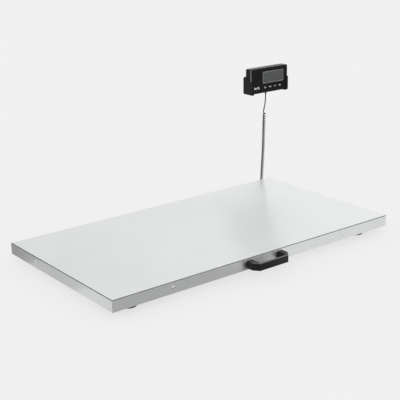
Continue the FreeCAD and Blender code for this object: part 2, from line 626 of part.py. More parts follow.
def cord_hole():
    return rod((CORD_X, CORD_Y, CASE_Z[0] - 1), (CORD_X, CORD_Y, CASE_Z[0] + 4), 3.3)


def front_shell():
    shell = case_half(CASE_FRONT, CASE_SPLIT, (CASE_FRONT + CASE_WALL, CASE_SPLIT))
    for x, z in post_places():
        shell = shell.fuse(rod((x, CASE_FRONT + 1, z), (x, CASE_SPLIT, z), POST_RADIUS))
        shell = shell.cut(rod((x, CASE_FRONT + CASE_WALL, z), (x, CASE_SPLIT + 1, z), SHELL_SCREW_RADIUS))
    shell = shell.cut(plate_outline(WINDOW_X, WINDOW_Z, (CASE_FRONT - 1, CASE_FRONT + 4), WINDOW_CORNER))
    for x in KEY_X:
        shell = shell.cut(key_slab(x, KEY_WIDTH, KEY_HEIGHT, FIT, (CASE_FRONT - 1, CASE_FRONT + 4)))
    return shell.cut(cord_hole()).removeSplitter()


def key_slab(x, width, height, grow, y):
    half_x, half_z = width / 2 + grow, height / 2 + grow
    return plate_outline((x - half_x, x + half_x), (KEY_Z - half_z, KEY_Z + half_z), y, 1.2 + grow)


def rear_shell():
    shell = case_half(CASE_SPLIT, CASE_BACK, (CASE_SPLIT, CASE_BACK - CASE_WALL))
    for x, z in post_places():
        shell = shell.fuse(rod((x, CASE_SPLIT, z), (x, CASE_BACK - 1, z), POST_RADIUS))
        shell = shell.cut(rod((x, CASE_SPLIT - 1, z), (x, CASE_BACK + 1, z), SHELL_SCREW_RADIUS + 0.2))
        shell = shell.cut(rod((x, CASE_BACK - 2.8, z), (x, CASE_BACK + 1, z), 2.8))
    bay_top = CASE_Z[1] - CASE_WALL
    bay = box(BAY_X, (BAY_FLOOR_Y, CASE_BACK - 1), (BAY_Z - 1.5, bay_top))
    hollow_x = (BAY_X[0] + 1.5, BAY_X[1] - 1.5)
    hollow = box(hollow_x, (BAY_FLOOR_Y + 0.7, CASE_BACK - CASE_WALL), (BAY_Z, bay_top))
    shell = shell.fuse(bay).cut(hollow)
    doorway = (DOOR_X[0] - FIT, DOOR_X[1] + FIT)
    shell = shell.cut(box(doorway, (CASE_BACK - CASE_WALL - 0.2, CASE_BACK + 1), (BAY_Z, 500)))
    for rail in DOOR_X:
        shell = shell.cut(box((rail - 2.2, rail + 2.2), (288.2, CASE_BACK - CASE_WALL), (BAY_Z, 500)))
    return shell.cut(cord_hole()).removeSplitter()


def battery_door():
    front = CASE_BACK - DOOR
    door = box(DOOR_X, (front, CASE_BACK), (BAY_Z + FIT, CASE_Z[1]))
    for side, x in ((1, DOOR_X[0]), (-1, DOOR_X[1])):
        post = box((x, x + side * 1.2), (288.6, front), (BAY_Z + 4, CASE_Z[1] - 4))
        hook = box((x - side * 1.8, x + side * 1.2), (288.6, front - 0.5), (BAY_Z + 4, CASE_Z[1] - 4))
        door = door.fuse([post, hook])
    for step in range(4):
        z = BAY_Z + 8 + step * 2.6
        groove_x = (CASE_MIDDLE_X - 12, CASE_MIDDLE_X + 12)
        door = door.cut(box(groove_x, (CASE_BACK - 0.6, CASE_BACK + 1), (z, z + 1.2)))
    return door.removeSplitter()


save("front_shell", front_shell())
save("rear_shell", rear_shell())
save("battery_door", battery_door())
lens_x = (WINDOW_X[0] + 0.15, WINDOW_X[1] - 0.15)
lens_z = (WINDOW_Z[0] + 0.15, WINDOW_Z[1] - 0.15)
lens_y = (CASE_FRONT + 0.4, CASE_FRONT + 2.2)
save("display_window", plate_outline(lens_x, lens_z, lens_y, WINDOW_CORNER - 0.15))
BOARD_Y = (273.4, 275.0)
module_x = (WINDOW_X[0] + 1.5, WINDOW_X[1] - 1.5)
module_z = (WINDOW_Z[0] + 1.5, WINDOW_Z[1] - 1.5)
save("display_module", box(module_x, (CASE_FRONT + 2.6, BOARD_Y[0]), module_z))
board = box((CASE_X[0] + 13, CASE_X[1] - 13), BOARD_Y, (CASE_Z[0] + 4, CASE_Z[1] - 4))
processor = box((432, 446), (BOARD_Y[1], BOARD_Y[1] + 2.0), (345, 359))
converter = box((492, 500), (BOARD_Y[1], BOARD_Y[1] + 1.6), (348, 354))
save("main_board", board.fuse([processor, converter]))
mat_y = (CASE_FRONT + 4.1, CASE_FRONT + 5.3)
save("keypad_mat", box((KEY_X[0] - 11, KEY_X[-1] + 11), mat_y, (KEY_Z - 7, KEY_Z + 7)))
for number, x in enumerate(KEY_X, 1):
    cap = key_slab(x, KEY_WIDTH, KEY_HEIGHT, 0, (CASE_FRONT - KEY_PROUD, CASE_FRONT + 3.1))
    cap = round_edges(cap, 0.4, lambda e: e.BoundBox.YMax < CASE_FRONT - KEY_PROUD + 0.01)
    flange = key_slab(x, KEY_WIDTH, KEY_HEIGHT, KEY_FLANGE, (CASE_FRONT + CASE_WALL + FIT, CASE_FRONT + 3.1))
    save(f"key_{number}", cap.fuse(flange).removeSplitter())
cells, contacts = [], []
for z in AA_Z:
    for x in AA_X:
        low, high = x - CELL_AA_LENGTH / 2, x + CELL_AA_LENGTH / 2
        can = rod((low, AA_Y, z), (high - 1.2, AA_Y, z), CELL_AA_RADIUS)
        can = round_edges(can, 0.8, lambda e: e.Length < 50)
        cells.append(can.fuse(rod((high - 1.3, AA_Y, z), (high, AA_Y, z), 2.7)))
    for x in (AA_X[0] - CELL_AA_LENGTH / 2 - 1.0, AA_X[1] + CELL_AA_LENGTH / 2 + 0.2):
        contacts.append(box((x, x + 0.8), (AA_Y - 5, AA_Y + 5), (z - 5, z + 5)))
save("dry_cells", *cells)
save("battery_contacts", *contacts)
shell_screws = [
    pan_screw((x, CASE_BACK - 2.8, z), -Y, 5.0, 2.2 * SHELL_SCREW_RADIUS - 0.5, 15.0)
    for x, z in post_places()
]
save("shell_screws", *shell_screws)

# ---- Cord: boot and upper lead on the indicator, the curly part, and the lower lead to the gland ----
boot = rod((CORD_X, CORD_Y, CASE_Z[0]), (CORD_X, CORD_Y, CASE_Z[0] + 4), 3.0)
boot = boot.fuse(Part.makeCone(2.2, 3.9, CASE_Z[0] - BOOT_END, V(CORD_X, CORD_Y, BOOT_END)))
collar = rod((CORD_X, CORD_Y, CASE_Z[0] + 2.2), (CORD_X, CORD_Y, CASE_Z[0] + 4), 4.4)
save("cord_boot", boot.fuse(collar).removeSplitter())
for name, route, diameter in (
    ("cord_upper_lead", UPPER_LEAD, CORD),
    ("cord_curly_part", COIL_ROUTE, COIL),
    ("cord_lower_lead", LOWER_LEAD, CORD),
):
    tube, length, radii = tube_along(route, diameter)
    report_tube(name, tube, length, radii, diameter)
    save(name, tube)
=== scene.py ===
import bpy
import json
import math
from mathutils import Matrix, Vector

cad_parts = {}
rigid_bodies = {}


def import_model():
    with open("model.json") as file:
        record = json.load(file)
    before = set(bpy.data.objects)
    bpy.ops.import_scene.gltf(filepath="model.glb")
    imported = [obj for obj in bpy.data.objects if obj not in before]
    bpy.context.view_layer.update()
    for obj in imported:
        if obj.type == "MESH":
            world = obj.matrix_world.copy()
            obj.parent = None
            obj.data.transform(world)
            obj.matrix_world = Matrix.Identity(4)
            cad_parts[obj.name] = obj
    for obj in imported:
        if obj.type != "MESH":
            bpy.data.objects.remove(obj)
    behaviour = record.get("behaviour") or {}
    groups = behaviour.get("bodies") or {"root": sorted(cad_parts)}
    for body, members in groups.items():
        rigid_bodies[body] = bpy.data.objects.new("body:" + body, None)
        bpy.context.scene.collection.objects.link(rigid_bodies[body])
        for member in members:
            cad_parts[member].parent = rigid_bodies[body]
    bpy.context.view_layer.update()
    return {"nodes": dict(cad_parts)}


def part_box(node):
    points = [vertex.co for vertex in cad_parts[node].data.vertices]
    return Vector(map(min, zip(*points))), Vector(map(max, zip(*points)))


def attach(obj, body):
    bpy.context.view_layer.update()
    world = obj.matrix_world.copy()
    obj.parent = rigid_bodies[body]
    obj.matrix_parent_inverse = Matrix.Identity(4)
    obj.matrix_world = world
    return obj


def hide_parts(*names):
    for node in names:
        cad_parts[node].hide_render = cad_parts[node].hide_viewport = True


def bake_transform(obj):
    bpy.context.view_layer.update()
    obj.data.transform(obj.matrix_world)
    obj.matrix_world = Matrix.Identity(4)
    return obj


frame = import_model()
bpy.ops.object.select_all(action="DESELECT")


# ---- Camera ----
# The scale is seen from in front of its left end, a little above a standing animal's back.
# A long lens flattens the platform, and the camera leans by one degree.
camera_data = bpy.data.cameras.new("camera")
camera_data.lens = 87.47
camera_data.sensor_width = 36.0
camera_data.clip_end = 60.0
camera = bpy.data.objects.new("camera", camera_data)
bpy.context.scene.collection.objects.link(camera)
turn = Matrix.Rotation(math.radians(-37.597), 3, "Z")
tilt = Matrix.Rotation(math.radians(90.0 - 18.058), 3, "X")
lean = Matrix.Rotation(math.radians(-0.966), 3, "Z")
camera.matrix_world = Matrix.Translation((-1.5803, -2.0347, 0.9748)) @ (turn @ tilt @ lean).to_4x4()
bpy.context.scene.camera = camera
bpy.context.scene.view_settings.view_transform = "Standard"


# ---- Curly cord ----
# A thin polyurethane cord, 3.5 mm across, wound hot on a mandrel so that it springs back. A short
# straight lead leaves the boot under the indicator, the coil hangs in front of the wall, and the
# lower lead curls up to the gland in the platform's back skirt.
CORD = 0.0035
COIL = 0.0108
UPPER_LEAD = [
    (0.4765, 0.2800, 0.3245), (0.4773, 0.2806, 0.3090), (0.4732, 0.2794, 0.2890), (0.4673, 0.2800, 0.2667),
]
COIL_ROUTE = [
    (0.4710, 0.2800, 0.2660), (0.4696, 0.2804, 0.2060), (0.4676, 0.2798, 0.1460),
    (0.4640, 0.2803, 0.0880), (0.4610, 0.2800, 0.0370),
]
LOWER_LEAD = [
    (0.4574, 0.2800, 0.0370), (0.4564, 0.2820, 0.0105), (0.4310, 0.2905, 0.0125),
    (0.4275, 0.2830, 0.0335), (0.4300, 0.2640, 0.0330),
]


def spline_points(route, resolution):
    """Points along a smooth NURBS line whose control points are the route's."""
    data = bpy.data.curves.new("route", "CURVE")
    data.dimensions = "3D"
    spline = data.splines.new("NURBS")
    spline.points.add(len(route) - 1)
    for point, place in zip(spline.points, route):
        point.co = (*place, 1.0)
    spline.order_u = 3
    spline.use_endpoint_u = True
    spline.resolution_u = resolution
    holder = bpy.data.objects.new("route", data)
    bpy.context.scene.collection.objects.link(holder)
    bpy.context.view_layer.update()
    line = bpy.data.meshes.new_from_object(holder)
    points = [v.co.copy() for v in line.vertices]
    bpy.data.objects.remove(holder)
    return points


def along(line, height):
    """The point of a falling line at a height."""
    for high, low in zip(line, line[1:]):
        if high.z >= height >= low.z:
            return low.lerp(high, (height - low.z) / max(high.z - low.z, 1e-9))
    return line[-1].copy()


def turns_per_metre(height, top, bottom):
    """Turns are looser just under the straight lead, and both ends run out into the leads."""
    fallen = (top - height) / (top - bottom)
    pitch = 0.0068 + 0.0016 * math.exp(-fallen * 9.0) + 0.0003 * math.sin(fallen * 23.0)
    ease = min(1.0, (top - height) / 0.006 + 0.04, (height - bottom) / 0.006 + 0.04)
    return ease / pitch


def curl(route):
    """The helix of the coil about its own hanging line: it starts and ends on the coil's left side."""
    axis = spline_points(route, 24)
    top, bottom = axis[0].z, axis[-1].z
    fall = (top - bottom) / 4000
    heights = [top - fall * n for n in range(4001)]
    raw = sum(turns_per_metre(z, top, bottom) * fall for z in heights[:-1])
    fit = round(raw) / raw
    points, turned, kept = [], 0.0, -1.0
    for height in heights:
        if turned - kept >= 1 / 18 or height == heights[-1]:
            radius = (COIL - CORD) / 2 * (1.0 + 0.035 * math.sin(turned * 1.7))
            angle = math.pi + turned * 2 * math.pi
            points.append(along(axis, height) + Vector((math.cos(angle), math.sin(angle), 0)) * radius)
            kept = turned
        turned += turns_per_metre(height, top, bottom) * fall * fit
    return points


def tube_mesh(name, points, diameter):
    """A round tube along a line of points, with closed ends, as a mesh."""
    data = bpy.data.curves.new(name, "CURVE")
    data.dimensions = "3D"
    data.bevel_depth = diameter / 2
    data.bevel_resolution = 3
    data.use_fill_caps = True
    spline = data.splines.new("POLY")
    spline.points.add(len(points) - 1)
    for point, place in zip(spline.points, points):
        point.co = (*place, 1.0)
    holder = bpy.data.objects.new(name, data)
    bpy.context.scene.collection.objects.link(holder)
    bpy.context.view_layer.update()
    mesh = bpy.data.meshes.new_from_object(holder)
    bpy.data.objects.remove(holder)
    piece = bpy.data.objects.new(name, mesh)
    bpy.context.scene.collection.objects.link(piece)
    for face in mesh.polygons:
        face.use_smooth = len(face.vertices) == 4
    return piece


cord_line = spline_points(UPPER_LEAD, 12)[:-1] + curl(COIL_ROUTE)[:-1] + spline_points(LOWER_LEAD, 12)
curly_cord = tube_mesh("curly_cord", cord_line, CORD)


def linear(code):
    """An sRGB hex colour as linear RGBA."""
    values = [int(code[n:n + 2], 16) / 255 for n in (1, 3, 5)]
    return tuple(v / 12.92 if v <= 0.04045 else ((v + 0.055) / 1.055) ** 2.4 for v in values) + (1.0,)


def node(tree, kind, settings=None, **links):
    """Adds a node to a material, with its settings and its input values or links."""
    made = tree.nodes.new(kind)
    for key, value in (settings or {}).items():
        setattr(made, key, value)
    for key, value in links.items():
        socket = made.inputs[int(key[1:])] if key[1:].isdigit() else made.inputs[key.replace("_", " ")]
        if isinstance(value, bpy.types.NodeSocket):
            tree.links.new(value, socket)
        else:
            socket.default_value = value
    return made


def new_material(name, **values):
    """An empty material with its shader, its constant values and its object coordinates."""
    material = bpy.data.materials.new(name)
    material.use_nodes = True
    tree = material.node_tree
    tree.nodes.clear()
    shader = node(tree, "ShaderNodeBsdfPrincipled", None, **values)
    node(tree, "ShaderNodeOutputMaterial", None, Surface=shader.outputs["BSDF"])
    place = node(tree, "ShaderNodeTexCoord").outputs["Object"]
    return material, tree, shader, place


def wear(material, *nodes_or_pieces):
    """Gives a material to CAD nodes or pieces."""
    for item in nodes_or_pieces:
        target = frame["nodes"][item] if isinstance(item, str) else item
        target.data.materials.clear()
        target.data.materials.append(material)


# Extruded polyurethane: a satin black skin, dulled in places by handling and dust.
cord_jacket, tree, shader, place = new_material("extruded_polyurethane", Specular_IOR_Level=0.22)
dust = node(tree, "ShaderNodeTexNoise", Vector=place, Scale=180.0, Detail=3.0)
skin = node(
    tree, "ShaderNodeMix", {"data_type": "RGBA"},
    _0=dust.outputs["Fac"], _6=linear("#080808"), _7=linear("#131312"),
)
tree.links.new(skin.outputs[2], shader.inputs["Base Color"])
gloss = node(tree, "ShaderNodeMapRange", Value=dust.outputs["Fac"], To_Min=0.30, To_Max=0.48)
tree.links.new(gloss.outputs[0], shader.inputs["Roughness"])
wear(cord_jacket, curly_cord, "cord_boot", "inner_lead")
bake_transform(curly_cord)
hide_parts("cord_upper_lead", "cord_curly_part", "cord_lower_lead")


# ---- Deck cover ----
# One stainless sheet, 1.5 mm thick, with four skirts folded down. The mill brushed it along its
# length, so the lines run along the long skirts and down the short ones.
steel, tree, shader, place = new_material("brushed_stainless_sheet", Metallic=1.0, Anisotropic=0.85)
normal = node(tree, "ShaderNodeTexCoord").outputs["Normal"]
facing = node(tree, "ShaderNodeVectorMath", {"operation": "ABSOLUTE"}, _0=normal)
facing = node(tree, "ShaderNodeSeparateXYZ", Vector=facing.outputs[0])
short_skirt = node(tree, "ShaderNodeMath", {"operation": "GREATER_THAN"}, _0=facing.outputs["X"], _1=0.7)
grain_way = node(
    tree, "ShaderNodeMix", {"data_type": "VECTOR"},
    _0=short_skirt.outputs[0], _4=(1.0, 0.0, 0.0), _5=(0.0, 0.0, 1.0),
)
across = node(
    tree, "ShaderNodeVectorMath", {"operation": "CROSS_PRODUCT"}, _0=normal, _1=grain_way.outputs[1],
)
tree.links.new(across.outputs[0], shader.inputs["Tangent"])
# Real brush lines are 0.2 mm apart; these are drawn 1.1 mm apart, so that they show from afar.
long_lines = node(tree, "ShaderNodeMapping", Vector=place, Scale=(5.0, 900.0, 900.0))
short_lines = node(tree, "ShaderNodeMapping", Vector=place, Scale=(5.0, 900.0, 5.0))
laid = node(
    tree, "ShaderNodeMix", {"data_type": "VECTOR"},
    _0=short_skirt.outputs[0], _4=long_lines.outputs[0], _5=short_lines.outputs[0],
)
lines = node(tree, "ShaderNodeTexNoise", Vector=laid.outputs[1], Scale=1.0, Detail=3.0)
tone = node(
    tree, "ShaderNodeMix", {"data_type": "RGBA"},
    _0=lines.outputs["Fac"], _6=linear("#D5D7D6"), _7=linear("#E3E5E4"),
)
# Paws and cleaning leave faint cloudy marks and a few longer scratches.
wiped = node(tree, "ShaderNodeTexNoise", Vector=place, Scale=6.0, Detail=4.0, Roughness=0.6)
cloud = node(tree, "ShaderNodeMapRange", Value=wiped.outputs["Fac"], From_Min=0.35, From_Max=0.7)
clouded = node(
    tree, "ShaderNodeMix", {"data_type": "RGBA", "blend_type": "MULTIPLY"},
    _0=cloud.outputs[0], _6=tone.outputs[2], _7=linear("#FAFBFA"),
)
# Painted shade: the rounded outside of each fold is coloured dark grey, a painted dark line along every bend.
folded = node(tree, "ShaderNodeMath", {"operation": "COMPARE"}, _0=facing.outputs["Z"], _1=0.62, _2=0.35)
painted_fold_shade = node(
    tree, "ShaderNodeMix", {"data_type": "RGBA"},
    _0=folded.outputs[0], _6=clouded.outputs[2], _7=linear("#4E504F"),
)
tree.links.new(painted_fold_shade.outputs[2], shader.inputs["Base Color"])
scratch_way = node(
    tree, "ShaderNodeMapping", Vector=place, Rotation=(0.0, 0.0, 0.6), Scale=(14.0, 260.0, 60.0),
)
scratches = node(tree, "ShaderNodeTexNoise", Vector=scratch_way.outputs[0], Scale=1.0, Detail=2.0)
scratched = node(
    tree, "ShaderNodeMapRange", Value=scratches.outputs["Fac"], From_Min=0.70, From_Max=0.78, To_Max=0.08,
)
brushed = node(tree, "ShaderNodeMapRange", Value=lines.outputs["Fac"], To_Min=0.34, To_Max=0.44)
rough = node(tree, "ShaderNodeMath", {"operation": "ADD"}, _0=brushed.outputs[0], _1=scratched.outputs[0])
tree.links.new(rough.outputs[0], shader.inputs["Roughness"])
grooves = node(tree, "ShaderNodeBump", Strength=0.12, Distance=0.0001, Height=lines.outputs["Fac"])
tree.links.new(grooves.outputs[0], shader.inputs["Normal"])
wear(steel, "deck_cover")


# ---- Cover screws and rivet nuts ----
# Eight polished pan-head screws hold the cover to the frame, in plated rivet nuts that are pressed
# into the tubes.
polished, tree, shader, place = new_material("polished_stainless_screws", Metallic=1.0)
swirl = node(tree, "ShaderNodeTexNoise", Vector=place, Scale=900.0, Detail=2.0)
shine = node(
    tree, "ShaderNodeMix", {"data_type": "RGBA"},
    _0=swirl.outputs["Fac"], _6=linear("#D9DADB"), _7=linear("#F0F1F1"),
)
tree.links.new(shine.outputs[2], shader.inputs["Base Color"])
rub = node(tree, "ShaderNodeMapRange", Value=swirl.outputs["Fac"], To_Min=0.08, To_Max=0.18)
tree.links.new(rub.outputs[0], shader.inputs["Roughness"])
wear(polished, "cover_screws")

# Zinc plate: a cool bright skin with a cloudy, faintly yellow passivated bloom.
zinc, tree, shader, place = new_material("zinc_plated_steel", Metallic=1.0)
bloom = node(tree, "ShaderNodeTexNoise", Vector=place, Scale=240.0, Detail=4.0)
plate = node(
    tree, "ShaderNodeMix", {"data_type": "RGBA"},
    _0=bloom.outputs["Fac"], _6=linear("#A9ADB0"), _7=linear("#C9C8BD"),
)
tree.links.new(plate.outputs[2], shader.inputs["Base Color"])
haze = node(tree, "ShaderNodeMapRange", Value=bloom.outputs["Fac"], To_Min=0.24, To_Max=0.42)
tree.links.new(haze.outputs[0], shader.inputs["Roughness"])
wear(zinc, "rivet_nuts", "handle_screws", "cell_screws", "lock_nuts", "junction_screws", "shell_screws")


# ---- Welded frame ----
# Square steel tubes, 25 mm, welded at their ends and powder coated in one grey coat that also covers
# the cells' brackets and the junction box's bracket.
coat, tree, shader, place = new_material("powder_coated_steel", IOR=1.5)
specks = node(tree, "ShaderNodeTexNoise", Vector=place, Scale=420.0, Detail=3.0)
grey = node(
    tree, "ShaderNodeMix", {"data_type": "RGBA"},
    _0=specks.outputs["Fac"], _6=linear("#8B8E90"), _7=linear("#9DA0A1"),
)
tree.links.new(grey.outputs[2], shader.inputs["Base Color"])
satin = node(tree, "ShaderNodeMapRange", Value=specks.outputs["Fac"], To_Min=0.42, To_Max=0.58)
tree.links.new(satin.outputs[0], shader.inputs["Roughness"])
peel = node(tree, "ShaderNodeTexNoise", Vector=place, Scale=700.0, Detail=1.0)
orange_peel = node(tree, "ShaderNodeBump", Strength=0.35, Distance=0.0002, Height=peel.outputs["Fac"])
tree.links.new(orange_peel.outputs[0], shader.inputs["Normal"])
wear(coat, "front_rail", "back_rail", "left_rail", "right_rail", "cell_brackets", "junction_bracket")
wear(coat, "left_cross_tube", "middle_cross_tube", "right_cross_tube")

# A weld bead is a row of overlapping drops, laid in each inner corner between two tubes.
DROP = 0.0021
DROPS = 11
WELD_SETBACK = 0.0006
rail_low, rail_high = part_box("front_rail")
weld_y = rail_high.y
weld_bottom, weld_top = rail_low.z, rail_high.z
for drop in range(DROPS):
    height = weld_bottom + DROP + drop * (weld_top - weld_bottom - 2 * DROP) / (DROPS - 1)
    bpy.ops.mesh.primitive_uv_sphere_add(segments=14, ring_count=8, radius=DROP, location=(0, 0, height))
    bpy.ops.transform.resize(value=(1.0, 1.0, 0.85), center_override=(0, 0, height))
    bpy.context.object.name = f"weld_drop_{drop}"
bpy.ops.object.select_all(action="DESELECT")
for drop in range(DROPS):
    bpy.data.objects[f"weld_drop_{drop}"].select_set(True)
bead = bpy.data.objects["weld_drop_0"]
bpy.context.view_layer.objects.active = bead
bpy.ops.object.join()
bpy.ops.object.transform_apply(location=True, rotation=True, scale=True)
bpy.ops.object.shade_smooth()
weld_places = []
for tube in ("left_cross_tube", "middle_cross_tube", "right_cross_tube"):
    tube_low, tube_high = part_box(tube)
    for corner_x in (tube_low.x - WELD_SETBACK, tube_high.x + WELD_SETBACK):
        for corner_y in (weld_y + WELD_SETBACK, -weld_y - WELD_SETBACK):
            weld_places.append((corner_x, corner_y))
for number, (corner_x, corner_y) in enumerate(weld_places, 1):
    weld = bead.copy()
    weld.data = bead.data.copy()
    weld.name = f"weld_bead_{number}"
    bpy.context.scene.collection.objects.link(weld)
    weld.data.transform(Matrix.Translation((corner_x, corner_y, 0)))
    wear(coat, weld)
    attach(weld, "platform")
bpy.data.objects.remove(bead)


# ---- Carrying handle ----
# One moulding of black nylon with a fine texture on every face. Its two legs stand on the front
# skirt, each on a brass insert that takes a screw from inside the front rail.
grip, tree, shader, place = new_material("moulded_nylon_handle", Specular_IOR_Level=0.26)
grain = node(tree, "ShaderNodeTexNoise", Vector=place, Scale=1100.0, Detail=2.0)
worn = node(tree, "ShaderNodeTexNoise", Vector=place, Scale=45.0, Detail=3.0)
nylon = node(
    tree, "ShaderNodeMix", {"data_type": "RGBA"},
    _0=worn.outputs["Fac"], _6=linear("#0B0B0B"), _7=linear("#191919"),
)
# Painted highlight: the bar's long edges, where the surface faces both forward and up, are coloured light
# grey for the highlight along its rounded top rim.
normal = node(tree, "ShaderNodeTexCoord").outputs["Normal"]
out_way = node(tree, "ShaderNodeVectorMath", {"operation": "ABSOLUTE"}, _0=normal)
out_way = node(tree, "ShaderNodeSeparateXYZ", Vector=out_way.outputs[0])
on_edge = node(
    tree, "ShaderNodeMath", {"operation": "MULTIPLY"},
    _0=out_way.outputs["Y"], _1=out_way.outputs["Z"],
)
edge_highlight_mask = node(tree, "ShaderNodeMapRange", Value=on_edge.outputs[0], From_Min=0.12, From_Max=0.30)
painted_rim_highlight = node(
    tree, "ShaderNodeMix", {"data_type": "RGBA"},
    _0=edge_highlight_mask.outputs[0], _6=nylon.outputs[2], _7=linear("#7E7E7D"),
)
tree.links.new(painted_rim_highlight.outputs[2], shader.inputs["Base Color"])
held = node(tree, "ShaderNodeMapRange", Value=worn.outputs["Fac"], To_Min=0.40, To_Max=0.56)
tree.links.new(held.outputs[0], shader.inputs["Roughness"])
texture = node(tree, "ShaderNodeBump", Strength=0.3, Distance=0.00015, Height=grain.outputs["Fac"])
tree.links.new(texture.outputs[0], shader.inputs["Normal"])
wear(grip, "carrying_handle")

# Turned brass, with the fine rings of the lathe about each insert's axis.
brass, tree, shader, place = new_material("turned_brass", Metallic=1.0)
rings = node(tree, "ShaderNodeTexWave", {"bands_direction": "Y"}, Vector=place, Scale=600.0, Distortion=0.4)
warm = node(
    tree, "ShaderNodeMix", {"data_type": "RGBA"},
    _0=rings.outputs["Fac"], _6=linear("#B8893F"), _7=linear("#D8AE62"),
)
tree.links.new(warm.outputs[2], shader.inputs["Base Color"])
lathe = node(tree, "ShaderNodeMapRange", Value=rings.outputs["Fac"], To_Min=0.22, To_Max=0.36)
tree.links.new(lathe.outputs[0], shader.inputs["Roughness"])
wear(brass, "handle_inserts")


# ---- Load cells ----
# Four milled aluminium bending beams. White silicone is poured over the gauges, in a patch on each
# side of the thinned middle.
beam, tree, shader, place = new_material("milled_aluminium", Metallic=1.0)
passes = node(tree, "ShaderNodeTexWave", {"bands_direction": "X"}, Vector=place, Scale=420.0, Distortion=1.2)
alloy = node(
    tree, "ShaderNodeMix", {"data_type": "RGBA"},
    _0=passes.outputs["Fac"], _6=linear("#B9BCBE"), _7=linear("#CBCDCF"),
)
tree.links.new(alloy.outputs[2], shader.inputs["Base Color"])
milled = node(tree, "ShaderNodeMapRange", Value=passes.outputs["Fac"], To_Min=0.26, To_Max=0.40)
tree.links.new(milled.outputs[0], shader.inputs["Roughness"])
cutter = node(tree, "ShaderNodeBump", Strength=0.25, Distance=0.0001, Height=passes.outputs["Fac"])
tree.links.new(cutter.outputs[0], shader.inputs["Normal"])
wear(beam, "load_cell_1", "load_cell_2", "load_cell_3", "load_cell_4", "cell_spacers")

silicone, tree, shader, place = new_material("poured_silicone", Roughness=0.38, Subsurface_Weight=0.1)
skinned = node(tree, "ShaderNodeTexNoise", Vector=place, Scale=130.0, Detail=3.0)
milky = node(
    tree, "ShaderNodeMix", {"data_type": "RGBA"},
    _0=skinned.outputs["Fac"], _6=linear("#D8D8D2"), _7=linear("#ECECE8"),
)
tree.links.new(milky.outputs[2], shader.inputs["Base Color"])
shader.inputs["Subsurface Radius"].default_value = (0.002, 0.002, 0.002)
sagged = node(tree, "ShaderNodeBump", Strength=0.4, Distance=0.0006, Height=skinned.outputs["Fac"])
tree.links.new(sagged.outputs[0], shader.inputs["Normal"])
POUR = (0.027, 0.0018, 0.013)
bpy.ops.mesh.primitive_cube_add(size=1.0)
pour = bpy.context.object
bpy.ops.transform.resize(value=POUR)
bpy.ops.object.transform_apply(location=True, rotation=True, scale=True)
rounding = pour.modifiers.new("rounding", "BEVEL")
rounding.width = 0.0008
rounding.segments = 3
bpy.ops.object.modifier_apply(modifier="rounding")
bpy.ops.object.shade_smooth_by_angle(angle=math.radians(40))
wear(silicone, pour)
bpy.ops.object.select_all(action="DESELECT")
for number in range(1, 5):
    cell_low, cell_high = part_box(f"load_cell_{number}")
    middle = (cell_low + cell_high) / 2
    for side, face_y in (("front", cell_low.y), ("back", cell_high.y)):
        cover = pour.copy()
        cover.data = pour.data.copy()
        cover.name = f"gauge_cover_{number}_{side}"
        bpy.context.scene.collection.objects.link(cover)
        cover.data.transform(Matrix.Translation((middle.x, face_y, middle.z)))
        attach(cover, "platform")
bpy.data.objects.remove(pour)


# ---- Levelling feet ----
# Each foot is a rubber pad under a zinc-plated stem. The stem's thread has a 1.25 mm pitch and
# runs up through the beam's end, and the pad has moulded rings underneath.
SHANK_BOTTOM_Z = 0.0152
FOOT_PLACE = (0.3965, 0.2025, 0.0)
threaded, tree, shader, place = new_material("rolled_thread_steel", Metallic=1.0)
height = node(tree, "ShaderNodeSeparateXYZ", Vector=place).outputs["Z"]
on_shank = node(tree, "ShaderNodeMath", {"operation": "GREATER_THAN"}, _0=height, _1=SHANK_BOTTOM_Z)
# A wave of scale 251 has a 1.25 mm pitch.
turns = node(tree, "ShaderNodeTexWave", {"bands_direction": "Z"}, Vector=place, Scale=251.3)
cut = node(tree, "ShaderNodeMath", {"operation": "MULTIPLY"}, _0=turns.outputs["Fac"], _1=on_shank.outputs[0])
thread = node(tree, "ShaderNodeBump", Strength=0.9, Distance=0.0006, Height=cut.outputs[0])
tree.links.new(thread.outputs[0], shader.inputs["Normal"])
stain = node(tree, "ShaderNodeTexNoise", Vector=place, Scale=300.0, Detail=3.0)
stem_skin = node(
    tree, "ShaderNodeMix", {"data_type": "RGBA"},
    _0=stain.outputs["Fac"], _6=linear("#9EA2A5"), _7=linear("#C4C4BB"),
)
tree.links.new(stem_skin.outputs[2], shader.inputs["Base Color"])
oiled = node(tree, "ShaderNodeMapRange", Value=stain.outputs["Fac"], To_Min=0.22, To_Max=0.38)
tree.links.new(oiled.outputs[0], shader.inputs["Roughness"])

rubber, tree, shader, place = new_material("moulded_rubber", Specular_IOR_Level=0.35)
folded = node(tree, "ShaderNodeVectorMath", {"operation": "ABSOLUTE"}, _0=place)
centred = node(
    tree, "ShaderNodeVectorMath", {"operation": "SUBTRACT"}, _0=folded.outputs[0], _1=FOOT_PLACE,
)
ribs = node(
    tree, "ShaderNodeTexWave", {"wave_type": "RINGS", "rings_direction": "Z"},
    Vector=centred.outputs[0], Scale=105.0,
)
ridge = node(tree, "ShaderNodeBump", Strength=0.5, Distance=0.0006, Height=ribs.outputs["Fac"])
tree.links.new(ridge.outputs[0], shader.inputs["Normal"])
powder = node(tree, "ShaderNodeTexNoise", Vector=place, Scale=90.0, Detail=4.0)
black_rubber = node(
    tree, "ShaderNodeMix", {"data_type": "RGBA"},
    _0=powder.outputs["Fac"], _6=linear("#0F0F0F"), _7=linear("#242423"),
)
tree.links.new(black_rubber.outputs[2], shader.inputs["Base Color"])
dull = node(tree, "ShaderNodeMapRange", Value=powder.outputs["Fac"], To_Min=0.62, To_Max=0.85)
tree.links.new(dull.outputs[0], shader.inputs["Roughness"])
for number in range(1, 5):
    wear(threaded, f"foot_stem_{number}")
    wear(rubber, f"foot_pad_{number}")


